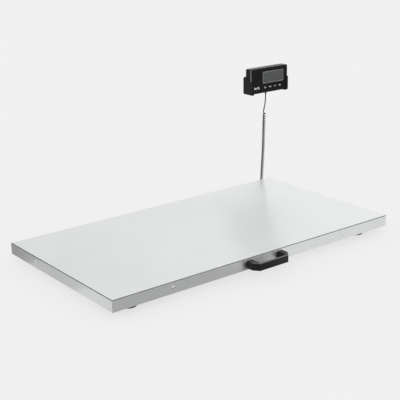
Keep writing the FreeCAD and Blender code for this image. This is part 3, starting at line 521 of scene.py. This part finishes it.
# ---- Junction box and summing board ----
# A grey polycarbonate box with a lid on four screws, a black gasket between them, and inside it the
# board that adds the four cells' signals.
housing, tree, shader, place = new_material("moulded_grey_polycarbonate", IOR=1.55)
spark = node(tree, "ShaderNodeTexNoise", Vector=place, Scale=800.0, Detail=2.0)
mottle = node(tree, "ShaderNodeTexNoise", Vector=place, Scale=40.0, Detail=3.0)
pale = node(
    tree, "ShaderNodeMix", {"data_type": "RGBA"},
    _0=mottle.outputs["Fac"], _6=linear("#A6A9A9"), _7=linear("#B3B5B5"),
)
tree.links.new(pale.outputs[2], shader.inputs["Base Color"])
matt = node(tree, "ShaderNodeMapRange", Value=spark.outputs["Fac"], To_Min=0.40, To_Max=0.54)
tree.links.new(matt.outputs[0], shader.inputs["Roughness"])
pits = node(tree, "ShaderNodeBump", Strength=0.25, Distance=0.0001, Height=spark.outputs["Fac"])
tree.links.new(pits.outputs[0], shader.inputs["Normal"])
wear(housing, "junction_box", "junction_lid")

GASKET = 0.0008
lid_low, lid_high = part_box("junction_lid")
middle = (lid_low + lid_high) / 2
bpy.ops.mesh.primitive_plane_add(size=1.0, location=(middle.x, middle.y, lid_high.z - GASKET / 2))
gasket = bpy.context.object
gasket.name = "lid_gasket"
bpy.ops.transform.resize(value=(lid_high.x - lid_low.x + 0.0006, lid_high.y - lid_low.y + 0.0006, 1.0))
bpy.ops.object.transform_apply(location=True, rotation=True, scale=True)
bpy.ops.object.mode_set(mode="EDIT")
bpy.ops.mesh.select_all(action="SELECT")
bpy.ops.mesh.bevel(offset=0.003, segments=6, affect="VERTICES")
bpy.ops.mesh.inset(thickness=0.0016)
bpy.ops.mesh.delete(type="FACE")
bpy.ops.object.mode_set(mode="OBJECT")
thick = gasket.modifiers.new("thick", "SOLIDIFY")
thick.thickness = GASKET
thick.offset = 0.0
bpy.ops.object.modifier_apply(modifier="thick")
wear(rubber, gasket)
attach(gasket, "platform")
bpy.ops.object.select_all(action="DESELECT")

# Green solder mask with faint tracks; what stands below the board's face is pale terminal plastic.
BOARD_FACE_Z = 0.0389
mask, tree, shader, place = new_material("printed_circuit_board", IOR=1.5, Coat_Weight=0.2)
height = node(tree, "ShaderNodeSeparateXYZ", Vector=place).outputs["Z"]
on_board = node(tree, "ShaderNodeMath", {"operation": "GREATER_THAN"}, _0=height, _1=BOARD_FACE_Z)
tracks = node(
    tree, "ShaderNodeTexBrick", Vector=place, Scale=170.0, Mortar_Size=0.06,
    Color1=linear("#1C5A33"), Color2=linear("#20653A"), Mortar=linear("#3A8A55"),
)
speckle = node(tree, "ShaderNodeTexNoise", Vector=place, Scale=300.0, Detail=2.0)
terminal = node(
    tree, "ShaderNodeMix", {"data_type": "RGBA"},
    _0=speckle.outputs["Fac"], _6=linear("#C9C6BA"), _7=linear("#D9D6CC"),
)
made_of = node(
    tree, "ShaderNodeMix", {"data_type": "RGBA"},
    _0=on_board.outputs[0], _6=terminal.outputs[2], _7=tracks.outputs["Color"],
)
tree.links.new(made_of.outputs[2], shader.inputs["Base Color"])
lacquer = node(tree, "ShaderNodeMapRange", Value=speckle.outputs["Fac"], To_Min=0.24, To_Max=0.42)
tree.links.new(lacquer.outputs[0], shader.inputs["Roughness"])
wear(mask, "summing_board")


# ---- Wiring ----
# Each cell's grey vinyl lead and the black main cord's inner end run under the cross tubes in nylon
# clips.
vinyl, tree, shader, place = new_material("extruded_vinyl_jacket", IOR=1.52)
scuffed = node(tree, "ShaderNodeTexNoise", Vector=place, Scale=220.0, Detail=3.0)
jacket = node(
    tree, "ShaderNodeMix", {"data_type": "RGBA"},
    _0=scuffed.outputs["Fac"], _6=linear("#7D7E80"), _7=linear("#8F9092"),
)
tree.links.new(jacket.outputs[2], shader.inputs["Base Color"])
waxy = node(tree, "ShaderNodeMapRange", Value=scuffed.outputs["Fac"], To_Min=0.34, To_Max=0.5)
tree.links.new(waxy.outputs[0], shader.inputs["Roughness"])
wear(vinyl, "cell_leads")

nylon_fitting, tree, shader, place = new_material("moulded_nylon_fittings", IOR=1.53)
flow = node(tree, "ShaderNodeTexNoise", Vector=place, Scale=350.0, Detail=2.0)
fitting = node(
    tree, "ShaderNodeMix", {"data_type": "RGBA"},
    _0=flow.outputs["Fac"], _6=linear("#141414"), _7=linear("#222222"),
)
tree.links.new(fitting.outputs[2], shader.inputs["Base Color"])
sheen = node(tree, "ShaderNodeMapRange", Value=flow.outputs["Fac"], To_Min=0.34, To_Max=0.48)
tree.links.new(sheen.outputs[0], shader.inputs["Roughness"])
wear(nylon_fitting, "cable_clips", "cable_gland", "gland_nut")

# The gland's dome nut has twelve moulded grips around it.
GRIP_RING = 0.0075
GRIP_COUNT = 12
gland_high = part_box("cable_gland")[1]
gland_x, gland_z = 0.4300, 0.0330
dome_y = gland_high.y - 0.0060
bpy.ops.mesh.primitive_cylinder_add(
    vertices=12, radius=0.0008, depth=0.0044, location=(0, dome_y, GRIP_RING), rotation=(math.pi / 2, 0, 0),
)
dome_grip = bpy.context.object
bpy.ops.object.transform_apply(location=True, rotation=True, scale=True)
rounding = dome_grip.modifiers.new("rounding", "BEVEL")
rounding.width = 0.0003
rounding.segments = 2
rounding.limit_method = "ANGLE"
bpy.ops.object.modifier_apply(modifier="rounding")
bpy.ops.object.select_all(action="DESELECT")
for number in range(1, GRIP_COUNT + 1):
    copy = dome_grip.copy()
    copy.data = dome_grip.data.copy()
    copy.name = f"gland_grip_{number}"
    bpy.context.scene.collection.objects.link(copy)
    around = Matrix.Rotation(math.radians(360 / GRIP_COUNT * number), 4, "Y")
    copy.data.transform(Matrix.Translation((gland_x, 0, gland_z)) @ around)
    wear(nylon_fitting, copy)
    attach(copy, "platform")
bpy.data.objects.remove(dome_grip)


# ---- Cradle ----
# A black moulding screwed to the wall. The indicator drops between its two arms, and two narrow lips
# hold it from the front.
cradle_plastic, tree, shader, place = new_material("moulded_abs_cradle", Specular_IOR_Level=0.14)
fine = node(tree, "ShaderNodeTexNoise", Vector=place, Scale=1000.0, Detail=2.0)
faded = node(tree, "ShaderNodeTexNoise", Vector=place, Scale=60.0, Detail=3.0)
dark = node(
    tree, "ShaderNodeMix", {"data_type": "RGBA"},
    _0=faded.outputs["Fac"], _6=linear("#0A0A0A"), _7=linear("#141414"),
)
tree.links.new(dark.outputs[2], shader.inputs["Base Color"])
smooth = node(tree, "ShaderNodeMapRange", Value=faded.outputs["Fac"], To_Min=0.34, To_Max=0.46)
tree.links.new(smooth.outputs[0], shader.inputs["Roughness"])
fine_bump = node(tree, "ShaderNodeBump", Strength=0.2, Distance=0.0001, Height=fine.outputs["Fac"])
tree.links.new(fine_bump.outputs[0], shader.inputs["Normal"])
wear(cradle_plastic, "cradle")


# ---- Indicator casing ----
# Two black mouldings with a spark-eroded texture that meet in a fine line round the sides, and a
# battery door in the rear one.
CASE_SEAM_Y = 0.2810
CASE_FRONT_Y = 0.2690
case, tree, shader, place = new_material("spark_eroded_abs_casing", Specular_IOR_Level=0.14)
eroded = node(tree, "ShaderNodeTexNoise", Vector=place, Scale=1200.0, Detail=2.0)
faint = node(tree, "ShaderNodeTexNoise", Vector=place, Scale=70.0, Detail=3.0)
black = node(
    tree, "ShaderNodeMix", {"data_type": "RGBA"},
    _0=faint.outputs["Fac"], _6=linear("#090909"), _7=linear("#131313"),
)
depth = node(tree, "ShaderNodeSeparateXYZ", Vector=place).outputs["Y"]
seam = node(tree, "ShaderNodeMath", {"operation": "COMPARE"}, _0=depth, _1=CASE_SEAM_Y, _2=0.00022)
lined = node(
    tree, "ShaderNodeMix", {"data_type": "RGBA"},
    _0=seam.outputs[0], _6=black.outputs[2], _7=linear("#010101"),
)
# Painted highlight: the upright edges of the casing's front are coloured light grey, standing in for the
# highlight along the rounded edges.
normal = node(tree, "ShaderNodeTexCoord").outputs["Normal"]
out_way = node(tree, "ShaderNodeVectorMath", {"operation": "ABSOLUTE"}, _0=normal)
out_way = node(tree, "ShaderNodeSeparateXYZ", Vector=out_way.outputs[0])
on_edge = node(
    tree, "ShaderNodeMath", {"operation": "MULTIPLY"},
    _0=out_way.outputs["X"], _1=out_way.outputs["Y"],
)
edge_highlight_mask = node(tree, "ShaderNodeMapRange", Value=on_edge.outputs[0], From_Min=0.34, From_Max=0.46)
in_front = node(tree, "ShaderNodeMath", {"operation": "LESS_THAN"}, _0=depth, _1=CASE_FRONT_Y)
front_edge_highlight_mask = node(
    tree, "ShaderNodeMath", {"operation": "MULTIPLY"}, _0=edge_highlight_mask.outputs[0], _1=in_front.outputs[0],
)
painted_edge_highlight = node(
    tree, "ShaderNodeMix", {"data_type": "RGBA"},
    _0=front_edge_highlight_mask.outputs[0], _6=lined.outputs[2], _7=linear("#DADCDB"),
)
tree.links.new(painted_edge_highlight.outputs[2], shader.inputs["Base Color"])
bloomed = node(tree, "ShaderNodeMapRange", Value=faint.outputs["Fac"], To_Min=0.30, To_Max=0.44)
tree.links.new(bloomed.outputs[0], shader.inputs["Roughness"])
pitted = node(tree, "ShaderNodeBump", Strength=0.2, Distance=0.0001, Height=eroded.outputs["Fac"])
tree.links.new(pitted.outputs[0], shader.inputs["Normal"])
wear(case, "front_shell", "rear_shell", "battery_door")

# A printed polyester sheet covers the front face, with openings for the window and the four keys.
OVERLAY = (0.4095, 0.5525, 0.3385, 0.4065)
OVERLAY_THICKNESS = 0.00025
face_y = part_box("front_shell")[0].y
middle_x, middle_z = (OVERLAY[0] + OVERLAY[1]) / 2, (OVERLAY[2] + OVERLAY[3]) / 2
bpy.ops.mesh.primitive_plane_add(
    size=1.0, location=(middle_x, face_y, middle_z), rotation=(math.pi / 2, 0, 0),
)
overlay = bpy.context.object
overlay.name = "face_overlay"
overlay.scale = (OVERLAY[1] - OVERLAY[0], OVERLAY[3] - OVERLAY[2], 1.0)
bpy.ops.object.transform_apply(location=True, rotation=True, scale=True)
bpy.ops.object.mode_set(mode="EDIT")
bpy.ops.mesh.select_all(action="SELECT")
bpy.ops.mesh.bevel(offset=0.003, segments=6, affect="VERTICES")
bpy.ops.object.mode_set(mode="OBJECT")
thick = overlay.modifiers.new("thick", "SOLIDIFY")
thick.thickness = 2 * OVERLAY_THICKNESS
thick.offset = 0.0
bpy.ops.object.modifier_apply(modifier="thick")
WINDOW_OPENING = (0.4540, 0.5415, 0.3625, 0.4000)
KEY_LAP = 0.0004
openings = [(WINDOW_OPENING, 0.003)]
for key in range(1, 5):
    key_low, key_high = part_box(f"key_{key}")
    left, right = key_low.x + KEY_LAP, key_high.x - KEY_LAP
    bottom, top = key_low.z + KEY_LAP, key_high.z - KEY_LAP
    openings.append(((left, right, bottom, top), 0.0015))
for (left, right, bottom, top), corner in openings:
    middle = ((left + right) / 2, face_y, (bottom + top) / 2)
    bpy.ops.mesh.primitive_plane_add(size=1.0, location=middle, rotation=(math.pi / 2, 0, 0))
    punch = bpy.context.object
    punch.scale = (right - left, top - bottom, 1.0)
    bpy.ops.object.transform_apply(location=True, rotation=True, scale=True)
    bpy.ops.object.mode_set(mode="EDIT")
    bpy.ops.mesh.select_all(action="SELECT")
    bpy.ops.mesh.bevel(offset=corner, segments=6, affect="VERTICES")
    bpy.ops.object.mode_set(mode="OBJECT")
    deep = punch.modifiers.new("deep", "SOLIDIFY")
    deep.thickness = 0.004
    deep.offset = 0.0
    bpy.ops.object.modifier_apply(modifier="deep")
    bpy.ops.object.select_all(action="DESELECT")
    bpy.context.view_layer.objects.active = overlay
    punched = overlay.modifiers.new("punched", "BOOLEAN")
    punched.operation = "DIFFERENCE"
    punched.object = punch
    bpy.ops.object.modifier_apply(modifier="punched")
    bpy.data.objects.remove(punch)
sheet, tree, shader, place = new_material("printed_polyester_sheet", Specular_IOR_Level=0.11)
weave = node(tree, "ShaderNodeTexNoise", Vector=place, Scale=1500.0, Detail=1.0)
ink_tone = node(
    tree, "ShaderNodeMix", {"data_type": "RGBA"},
    _0=weave.outputs["Fac"], _6=linear("#070707"), _7=linear("#0D0D0E"),
)
tree.links.new(ink_tone.outputs[2], shader.inputs["Base Color"])
velvet = node(tree, "ShaderNodeMapRange", Value=weave.outputs["Fac"], To_Min=0.36, To_Max=0.46)
tree.links.new(velvet.outputs[0], shader.inputs["Roughness"])
wear(sheet, overlay)
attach(overlay, "indicator")
bpy.ops.object.select_all(action="DESELECT")

# White screen-printed ink, used for the units mark and on the keys.
ink, tree, shader, place = new_material("screen_printed_ink", IOR=1.45, Roughness=0.5)
grains = node(tree, "ShaderNodeTexNoise", Vector=place, Scale=1500.0, Detail=2.0)
white = node(
    tree, "ShaderNodeMix", {"data_type": "RGBA"},
    _0=grains.outputs["Fac"], _6=linear("#D4D4D0"), _7=linear("#F2F2EE"),
)
tree.links.new(white.outputs[2], shader.inputs["Base Color"])

# The units that the scale reads in are printed at the lower left.
bpy.ops.object.text_add()
units = bpy.context.object
units.data.body = "kg lb"
units.data.size = 0.0112
units.data.offset = 0.00025
units.data.extrude = 0.00004
units.data.align_x = "CENTER"
units.data.align_y = "CENTER"
bpy.ops.object.convert(target="MESH")
units = bpy.context.object
units.name = "units_mark"
units.rotation_euler = (math.pi / 2, 0, 0)
units.location = (0.4285, face_y - OVERLAY_THICKNESS, 0.3505)
bpy.ops.object.transform_apply(location=True, rotation=True, scale=True)
wear(ink, units)
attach(units, "indicator")
bpy.ops.object.select_all(action="DESELECT")


# ---- Display ----
# A smoke-tinted acrylic window is set into the casing, with a thin grey line printed round its edge,
# and the liquid crystal panel lies just behind it. It is switched off, so its segments barely show.
acrylic, tree, shader, place = new_material("cast_smoked_acrylic", IOR=1.49, Transmission_Weight=1.0)
swirls = node(tree, "ShaderNodeTexNoise", Vector=place, Scale=60.0, Detail=2.0)
tint = node(
    tree, "ShaderNodeMix", {"data_type": "RGBA"},
    _0=swirls.outputs["Fac"], _6=linear("#C2C5C3"), _7=linear("#C8CBC9"),
)
tree.links.new(tint.outputs[2], shader.inputs["Base Color"])
wiped = node(tree, "ShaderNodeMapRange", Value=swirls.outputs["Fac"], To_Min=0.02, To_Max=0.06)
tree.links.new(wiped.outputs[0], shader.inputs["Roughness"])
wear(acrylic, "display_window")

WINDOW_LINE = 0.0009
window_low, window_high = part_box("display_window")
middle = (window_low + window_high) / 2
bpy.ops.mesh.primitive_plane_add(
    size=1.0, location=(middle.x, window_low.y - 0.00008, middle.z), rotation=(math.pi / 2, 0, 0),
)
window_line = bpy.context.object
window_line.name = "window_line"
window_line.scale = (window_high.x - window_low.x - 0.0006, window_high.z - window_low.z - 0.0006, 1.0)
bpy.ops.object.transform_apply(location=True, rotation=True, scale=True)
bpy.ops.object.mode_set(mode="EDIT")
bpy.ops.mesh.select_all(action="SELECT")
bpy.ops.mesh.bevel(offset=0.0026, segments=6, affect="VERTICES")
bpy.ops.mesh.inset(thickness=WINDOW_LINE)
bpy.ops.mesh.delete(type="FACE")
bpy.ops.object.mode_set(mode="OBJECT")
thick = window_line.modifiers.new("thick", "SOLIDIFY")
thick.thickness = 0.00008
thick.offset = 0.0
bpy.ops.object.modifier_apply(modifier="thick")
line_ink, tree, shader, place = new_material("printed_grey_line", IOR=1.45, Roughness=0.45)
patchy = node(tree, "ShaderNodeTexNoise", Vector=place, Scale=900.0, Detail=2.0)
greys = node(
    tree, "ShaderNodeMix", {"data_type": "RGBA"},
    _0=patchy.outputs["Fac"], _6=linear("#A2A4A2"), _7=linear("#B8BAB8"),
)
tree.links.new(greys.outputs[2], shader.inputs["Base Color"])
wear(line_ink, window_line)
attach(window_line, "indicator")
bpy.ops.object.select_all(action="DESELECT")

panel, tree, shader, place = new_material("liquid_crystal_panel", IOR=1.5)
cloudy = node(tree, "ShaderNodeTexNoise", Vector=place, Scale=35.0, Detail=2.0)
green_grey = node(
    tree, "ShaderNodeMix", {"data_type": "RGBA"},
    _0=cloudy.outputs["Fac"], _6=linear("#5F635E"), _7=linear("#656964"),
)
tree.links.new(green_grey.outputs[2], shader.inputs["Base Color"])
polariser = node(tree, "ShaderNodeMapRange", Value=cloudy.outputs["Fac"], To_Min=0.25, To_Max=0.32)
tree.links.new(polariser.outputs[0], shader.inputs["Roughness"])
wear(panel, "display_module")

# Five digits of seven segments, each segment a thin bar with cut corners.
DIGITS = 5
DIGIT_PITCH = 0.0150
DIGIT_WIDTH = 0.0095
DIGIT_HEIGHT = 0.0230
SEGMENT = (0.0086, 0.0016)
panel_low, panel_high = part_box("display_module")
middle = (panel_low + panel_high) / 2
segment_ink, tree, shader, place = new_material("liquid_crystal_segments", IOR=1.5, Roughness=0.3)
settled = node(tree, "ShaderNodeTexNoise", Vector=place, Scale=300.0, Detail=2.0)
ghost = node(
    tree, "ShaderNodeMix", {"data_type": "RGBA"},
    _0=settled.outputs["Fac"], _6=linear("#565A55"), _7=linear("#5C605B"),
)
tree.links.new(ghost.outputs[2], shader.inputs["Base Color"])
bpy.ops.mesh.primitive_plane_add(size=1.0, location=(0, 0, 0), rotation=(math.pi / 2, 0, 0))
segment = bpy.context.object
segment.scale = (SEGMENT[0], SEGMENT[1], 1.0)
bpy.ops.object.transform_apply(location=True, rotation=True, scale=True)
bpy.ops.object.mode_set(mode="EDIT")
bpy.ops.mesh.select_all(action="SELECT")
bpy.ops.mesh.bevel(offset=0.0006, segments=1, affect="VERTICES")
bpy.ops.object.mode_set(mode="OBJECT")
thick = segment.modifiers.new("thick", "SOLIDIFY")
thick.thickness = 0.0001
thick.offset = 0.0
bpy.ops.object.modifier_apply(modifier="thick")
bpy.ops.object.select_all(action="DESELECT")
half, quarter = DIGIT_HEIGHT / 2, DIGIT_HEIGHT / 4
places = [(0, half, 0), (0, 0, 0), (0, -half, 0)]
places += [(side * DIGIT_WIDTH / 2, level * quarter, 90) for side in (-1, 1) for level in (-1, 1)]
for digit in range(DIGITS):
    digit_x = middle.x + (digit - (DIGITS - 1) / 2) * DIGIT_PITCH
    for number, (across_x, up, spin) in enumerate(places, 1):
        copy = segment.copy()
        copy.data = segment.data.copy()
        copy.name = f"digit_{digit + 1}_segment_{number}"
        bpy.context.scene.collection.objects.link(copy)
        put = Matrix.Translation((digit_x + across_x, panel_low.y - 0.0001, middle.z + up))
        copy.data.transform(put @ Matrix.Rotation(math.radians(spin), 4, "Y"))
        wear(segment_ink, copy)
        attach(copy, "indicator")
bpy.data.objects.remove(segment)


# ---- Keys ----
# Four black silicone caps on one rubber mat, each with a printed white sign: power, zero, change of
# units, and hold.
silicone_key, tree, shader, place = new_material("moulded_silicone_keys", Specular_IOR_Level=0.16)
talc = node(tree, "ShaderNodeTexNoise", Vector=place, Scale=500.0, Detail=3.0)
key_black = node(
    tree, "ShaderNodeMix", {"data_type": "RGBA"},
    _0=talc.outputs["Fac"], _6=linear("#0B0B0B"), _7=linear("#151515"),
)
tree.links.new(key_black.outputs[2], shader.inputs["Base Color"])
soft_sheen = node(tree, "ShaderNodeMapRange", Value=talc.outputs["Fac"], To_Min=0.45, To_Max=0.62)
tree.links.new(soft_sheen.outputs[0], shader.inputs["Roughness"])
wear(silicone_key, "keypad_mat", "key_1", "key_2", "key_3", "key_4")

# Each sign is made of bars (x, z, width, height, turn) and rings (x, z, radius), in millimetres.
INK = 0.00006
RING_LINE = 0.0004
signs = {
    1: (
        [(0.0, 1.7, 0.9, 2.2, 0), (-4.3, 0.0, 1.6, 0.9, 0), (4.3, 0.0, 1.6, 0.9, 0)],
        [(0.0, -0.1, 1.9)],
    ),
    2: (
        [
            (-4.0, 0.0, 2.6, 0.9, 0), (-3.4, 0.7, 1.9, 0.8, 45), (-3.4, -0.7, 1.9, 0.8, -45),
            (4.0, 0.0, 2.6, 0.9, 0), (3.4, 0.7, 1.9, 0.8, -45), (3.4, -0.7, 1.9, 0.8, 45),
        ],
        [(0.0, 0.0, 1.5)],
    ),
    3: (
        [
            (-2.2, 0.0, 0.9, 3.8, 0), (-2.9, 1.2, 1.9, 0.8, -45), (-1.5, 1.2, 1.9, 0.8, 45),
            (2.2, 0.0, 0.9, 3.8, 0), (1.5, -1.2, 1.9, 0.8, 45), (2.9, -1.2, 1.9, 0.8, -45),
        ],
        [],
    ),
    4: (
        [
            (-1.1, 0.0, 1.2, 3.6, 0), (1.1, 0.0, 1.2, 3.6, 0),
            (-3.8, 0.0, 0.9, 3.6, 0), (3.8, 0.0, 0.9, 3.6, 0),
            (-3.2, 1.4, 1.4, 0.8, 0), (-3.2, -1.4, 1.4, 0.8, 0),
            (3.2, 1.4, 1.4, 0.8, 0), (3.2, -1.4, 1.4, 0.8, 0),
        ],
        [],
    ),
}
for key, (bars, ring_places) in signs.items():
    key_low, key_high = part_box(f"key_{key}")
    key_x, key_z = (key_low.x + key_high.x) / 2, (key_low.z + key_high.z) / 2
    face = key_low.y - INK / 2
    parts = []
    for x, z, width, tall, spin in bars:
        spot = (key_x + x / 1000, face, key_z + z / 1000)
        bpy.ops.mesh.primitive_cube_add(size=1.0, location=spot, rotation=(0, math.radians(spin), 0))
        bpy.context.object.scale = (width / 1000, INK, tall / 1000)
        parts.append(bpy.context.object)
    for x, z, radius in ring_places:
        spot = (key_x + x / 1000, face, key_z + z / 1000)
        bpy.ops.mesh.primitive_torus_add(
            location=spot, rotation=(math.pi / 2, 0, 0), major_radius=radius / 1000, minor_radius=RING_LINE,
            major_segments=32, minor_segments=8,
        )
        bpy.context.object.scale = (1.0, 1.0, 0.2)
        parts.append(bpy.context.object)
    for part in parts:
        part.select_set(True)
    bpy.context.view_layer.objects.active = parts[0]
    bpy.ops.object.join()
    sign = bpy.context.object
    sign.name = f"key_sign_{key}"
    bpy.ops.object.transform_apply(location=True, rotation=True, scale=True)
    wear(ink, sign)
    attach(sign, f"key_{key}")
    bpy.ops.object.select_all(action="DESELECT")


# ---- Main board, dry cells and contacts ----
# Behind the keys stand the board with its two black chips, and four AA cells in two rows between
# nickel-plated springs.
CHIP_FACE_Y = 0.2751
main_mask, tree, shader, place = new_material("printed_main_board", IOR=1.5, Coat_Weight=0.2)
depth = node(tree, "ShaderNodeSeparateXYZ", Vector=place).outputs["Y"]
on_chip = node(tree, "ShaderNodeMath", {"operation": "GREATER_THAN"}, _0=depth, _1=CHIP_FACE_Y)
flat = node(tree, "ShaderNodeMapping", Vector=place, Rotation=(math.pi / 2, 0, 0))
copper = node(
    tree, "ShaderNodeTexBrick", Vector=flat.outputs[0], Scale=150.0, Mortar_Size=0.05,
    Color1=linear("#1B5A31"), Color2=linear("#1F6638"), Mortar=linear("#3B8B52"),
)
dusty = node(tree, "ShaderNodeTexNoise", Vector=place, Scale=260.0, Detail=2.0)
epoxy = node(
    tree, "ShaderNodeMix", {"data_type": "RGBA"},
    _0=dusty.outputs["Fac"], _6=linear("#141414"), _7=linear("#1E1E1E"),
)
board_or_chip = node(
    tree, "ShaderNodeMix", {"data_type": "RGBA"},
    _0=on_chip.outputs[0], _6=copper.outputs["Color"], _7=epoxy.outputs[2],
)
tree.links.new(board_or_chip.outputs[2], shader.inputs["Base Color"])
glossy = node(tree, "ShaderNodeMapRange", Value=dusty.outputs["Fac"], To_Min=0.22, To_Max=0.4)
tree.links.new(glossy.outputs[0], shader.inputs["Roughness"])
wear(main_mask, "main_board")

# A shrunk sleeve: dark for most of its length, with a gold band towards the positive end.
CELL_START_X = 0.4285
CELL_PITCH = 0.0520
BAND_START = 0.0360
sleeve, tree, shader, place = new_material("shrunk_printed_sleeve", IOR=1.5, Coat_Weight=0.4)
shifted = node(tree, "ShaderNodeVectorMath", {"operation": "SUBTRACT"}, _0=place, _1=(CELL_START_X, 0.0, 0.0))
length_way = node(tree, "ShaderNodeSeparateXYZ", Vector=shifted.outputs[0]).outputs["X"]
in_cell = node(tree, "ShaderNodeMath", {"operation": "MODULO"}, _0=length_way, _1=CELL_PITCH)
band = node(tree, "ShaderNodeMath", {"operation": "GREATER_THAN"}, _0=in_cell.outputs[0], _1=BAND_START)
print_grain = node(tree, "ShaderNodeTexNoise", Vector=place, Scale=400.0, Detail=2.0)
body_ink = node(
    tree, "ShaderNodeMix", {"data_type": "RGBA"},
    _0=print_grain.outputs["Fac"], _6=linear("#26272A"), _7=linear("#303236"),
)
banded = node(
    tree, "ShaderNodeMix", {"data_type": "RGBA"},
    _0=band.outputs[0], _6=body_ink.outputs[2], _7=linear("#A98246"),
)
tree.links.new(banded.outputs[2], shader.inputs["Base Color"])
shrunk = node(tree, "ShaderNodeMapRange", Value=print_grain.outputs["Fac"], To_Min=0.22, To_Max=0.34)
tree.links.new(shrunk.outputs[0], shader.inputs["Roughness"])
wear(sleeve, "dry_cells")

nickel, tree, shader, place = new_material("nickel_plated_spring_steel", Metallic=1.0)
spots = node(tree, "ShaderNodeTexNoise", Vector=place, Scale=350.0, Detail=3.0)
plated = node(
    tree, "ShaderNodeMix", {"data_type": "RGBA"},
    _0=spots.outputs["Fac"], _6=linear("#B5AFA4"), _7=linear("#D6D1C8"),
)
tree.links.new(plated.outputs[2], shader.inputs["Base Color"])
stamped = node(tree, "ShaderNodeMapRange", Value=spots.outputs["Fac"], To_Min=0.18, To_Max=0.34)
tree.links.new(stamped.outputs[0], shader.inputs["Roughness"])
wear(nickel, "battery_contacts")


# ---- Floor and light ----
# The floor is a pale light table, lit softly from inside, so that the scale stands almost without a
# shadow. The walls of the studio are bright up to shoulder height and darker towards the ceiling.
bpy.ops.mesh.primitive_plane_add(size=60.0, location=(0, 0, 0))
floor = bpy.context.object
floor.name = "studio_floor"
floor_sheet, tree, shader, place = new_material(
    "light_table_acrylic", Roughness=1.0, Specular_IOR_Level=0.0, Emission_Strength=0.685,
    Emission_Color=(1.0, 1.0, 1.0, 1.0),
)
shader.inputs["Base Color"].default_value = (0.2, 0.2, 0.2, 1.0)
wear(floor_sheet, floor)
bpy.ops.object.select_all(action="DESELECT")

# Grey and white cards lie on the table beside the platform. The camera doesn't see them, and only the
# shiny parts show them: (name, left, right, front, back, brightness).
cards = [
    ("grey_card_front", -0.80, 0.05, -0.80, -0.262, 0.29),
    ("white_card_front", 0.12, 1.30, -1.00, -0.262, 0.88),
    ("grey_card_left", -1.05, -0.482, 0.20, 0.95, 0.40),
    ("middle_card_left", -1.05, -0.482, -0.05, 0.20, 0.70),
    ("white_card_left", -1.05, -0.482, -0.30, -0.05, 0.93),
]
for name, left, right, front, back, level in cards:
    bpy.ops.mesh.primitive_plane_add(size=1.0, location=((left + right) / 2, (front + back) / 2, 0.0008))
    card = bpy.context.object
    card.name = name
    card.scale = (right - left, back - front, 1.0)
    bpy.ops.object.transform_apply(location=True, rotation=True, scale=True)
    card_paper, tree, shader, place = new_material(
        f"{name}_paper", Roughness=1.0, Specular_IOR_Level=0.0, Emission_Strength=level,
        Emission_Color=(1.0, 1.0, 1.0, 1.0),
    )
    shader.inputs["Base Color"].default_value = (0.0, 0.0, 0.0, 1.0)
    wear(card_paper, card)
    card.visible_camera = False
    card.visible_diffuse = False
    card.visible_shadow = False
    card.visible_transmission = False
    bpy.ops.object.select_all(action="DESELECT")

world = bpy.data.worlds.new("studio_walls")
bpy.context.scene.world = world
world.use_nodes = True
sky = world.node_tree
way = node(sky, "ShaderNodeTexCoord").outputs["Generated"]
upward = node(sky, "ShaderNodeSeparateXYZ", Vector=way).outputs["Z"]
walls = node(sky, "ShaderNodeValToRGB", None, Fac=upward)
walls.color_ramp.elements[0].position = 0.0
walls.color_ramp.elements[0].color = (0.86, 0.86, 0.86, 1.0)
walls.color_ramp.elements[1].position = 1.0
walls.color_ramp.elements[1].color = (0.35, 0.35, 0.35, 1.0)
for position, level in ((0.06, 1.0), (0.62, 1.0), (0.86, 0.45)):
    stop = walls.color_ramp.elements.new(position)
    stop.color = (level, level, level, 1.0)
# Seen directly, the walls are as pale as the table, so no horizon shows behind the scale.
TABLE_TONE = 0.674
direct = node(sky, "ShaderNodeLightPath").outputs["Is Camera Ray"]
seen = node(
    sky, "ShaderNodeMix", {"data_type": "RGBA"},
    _0=direct, _6=walls.outputs["Color"], _7=(TABLE_TONE, TABLE_TONE, TABLE_TONE, 1.0),
)
sky.links.new(seen.outputs[2], sky.nodes["Background"].inputs["Color"])
sky.nodes["Background"].inputs["Strength"].default_value = 1.30
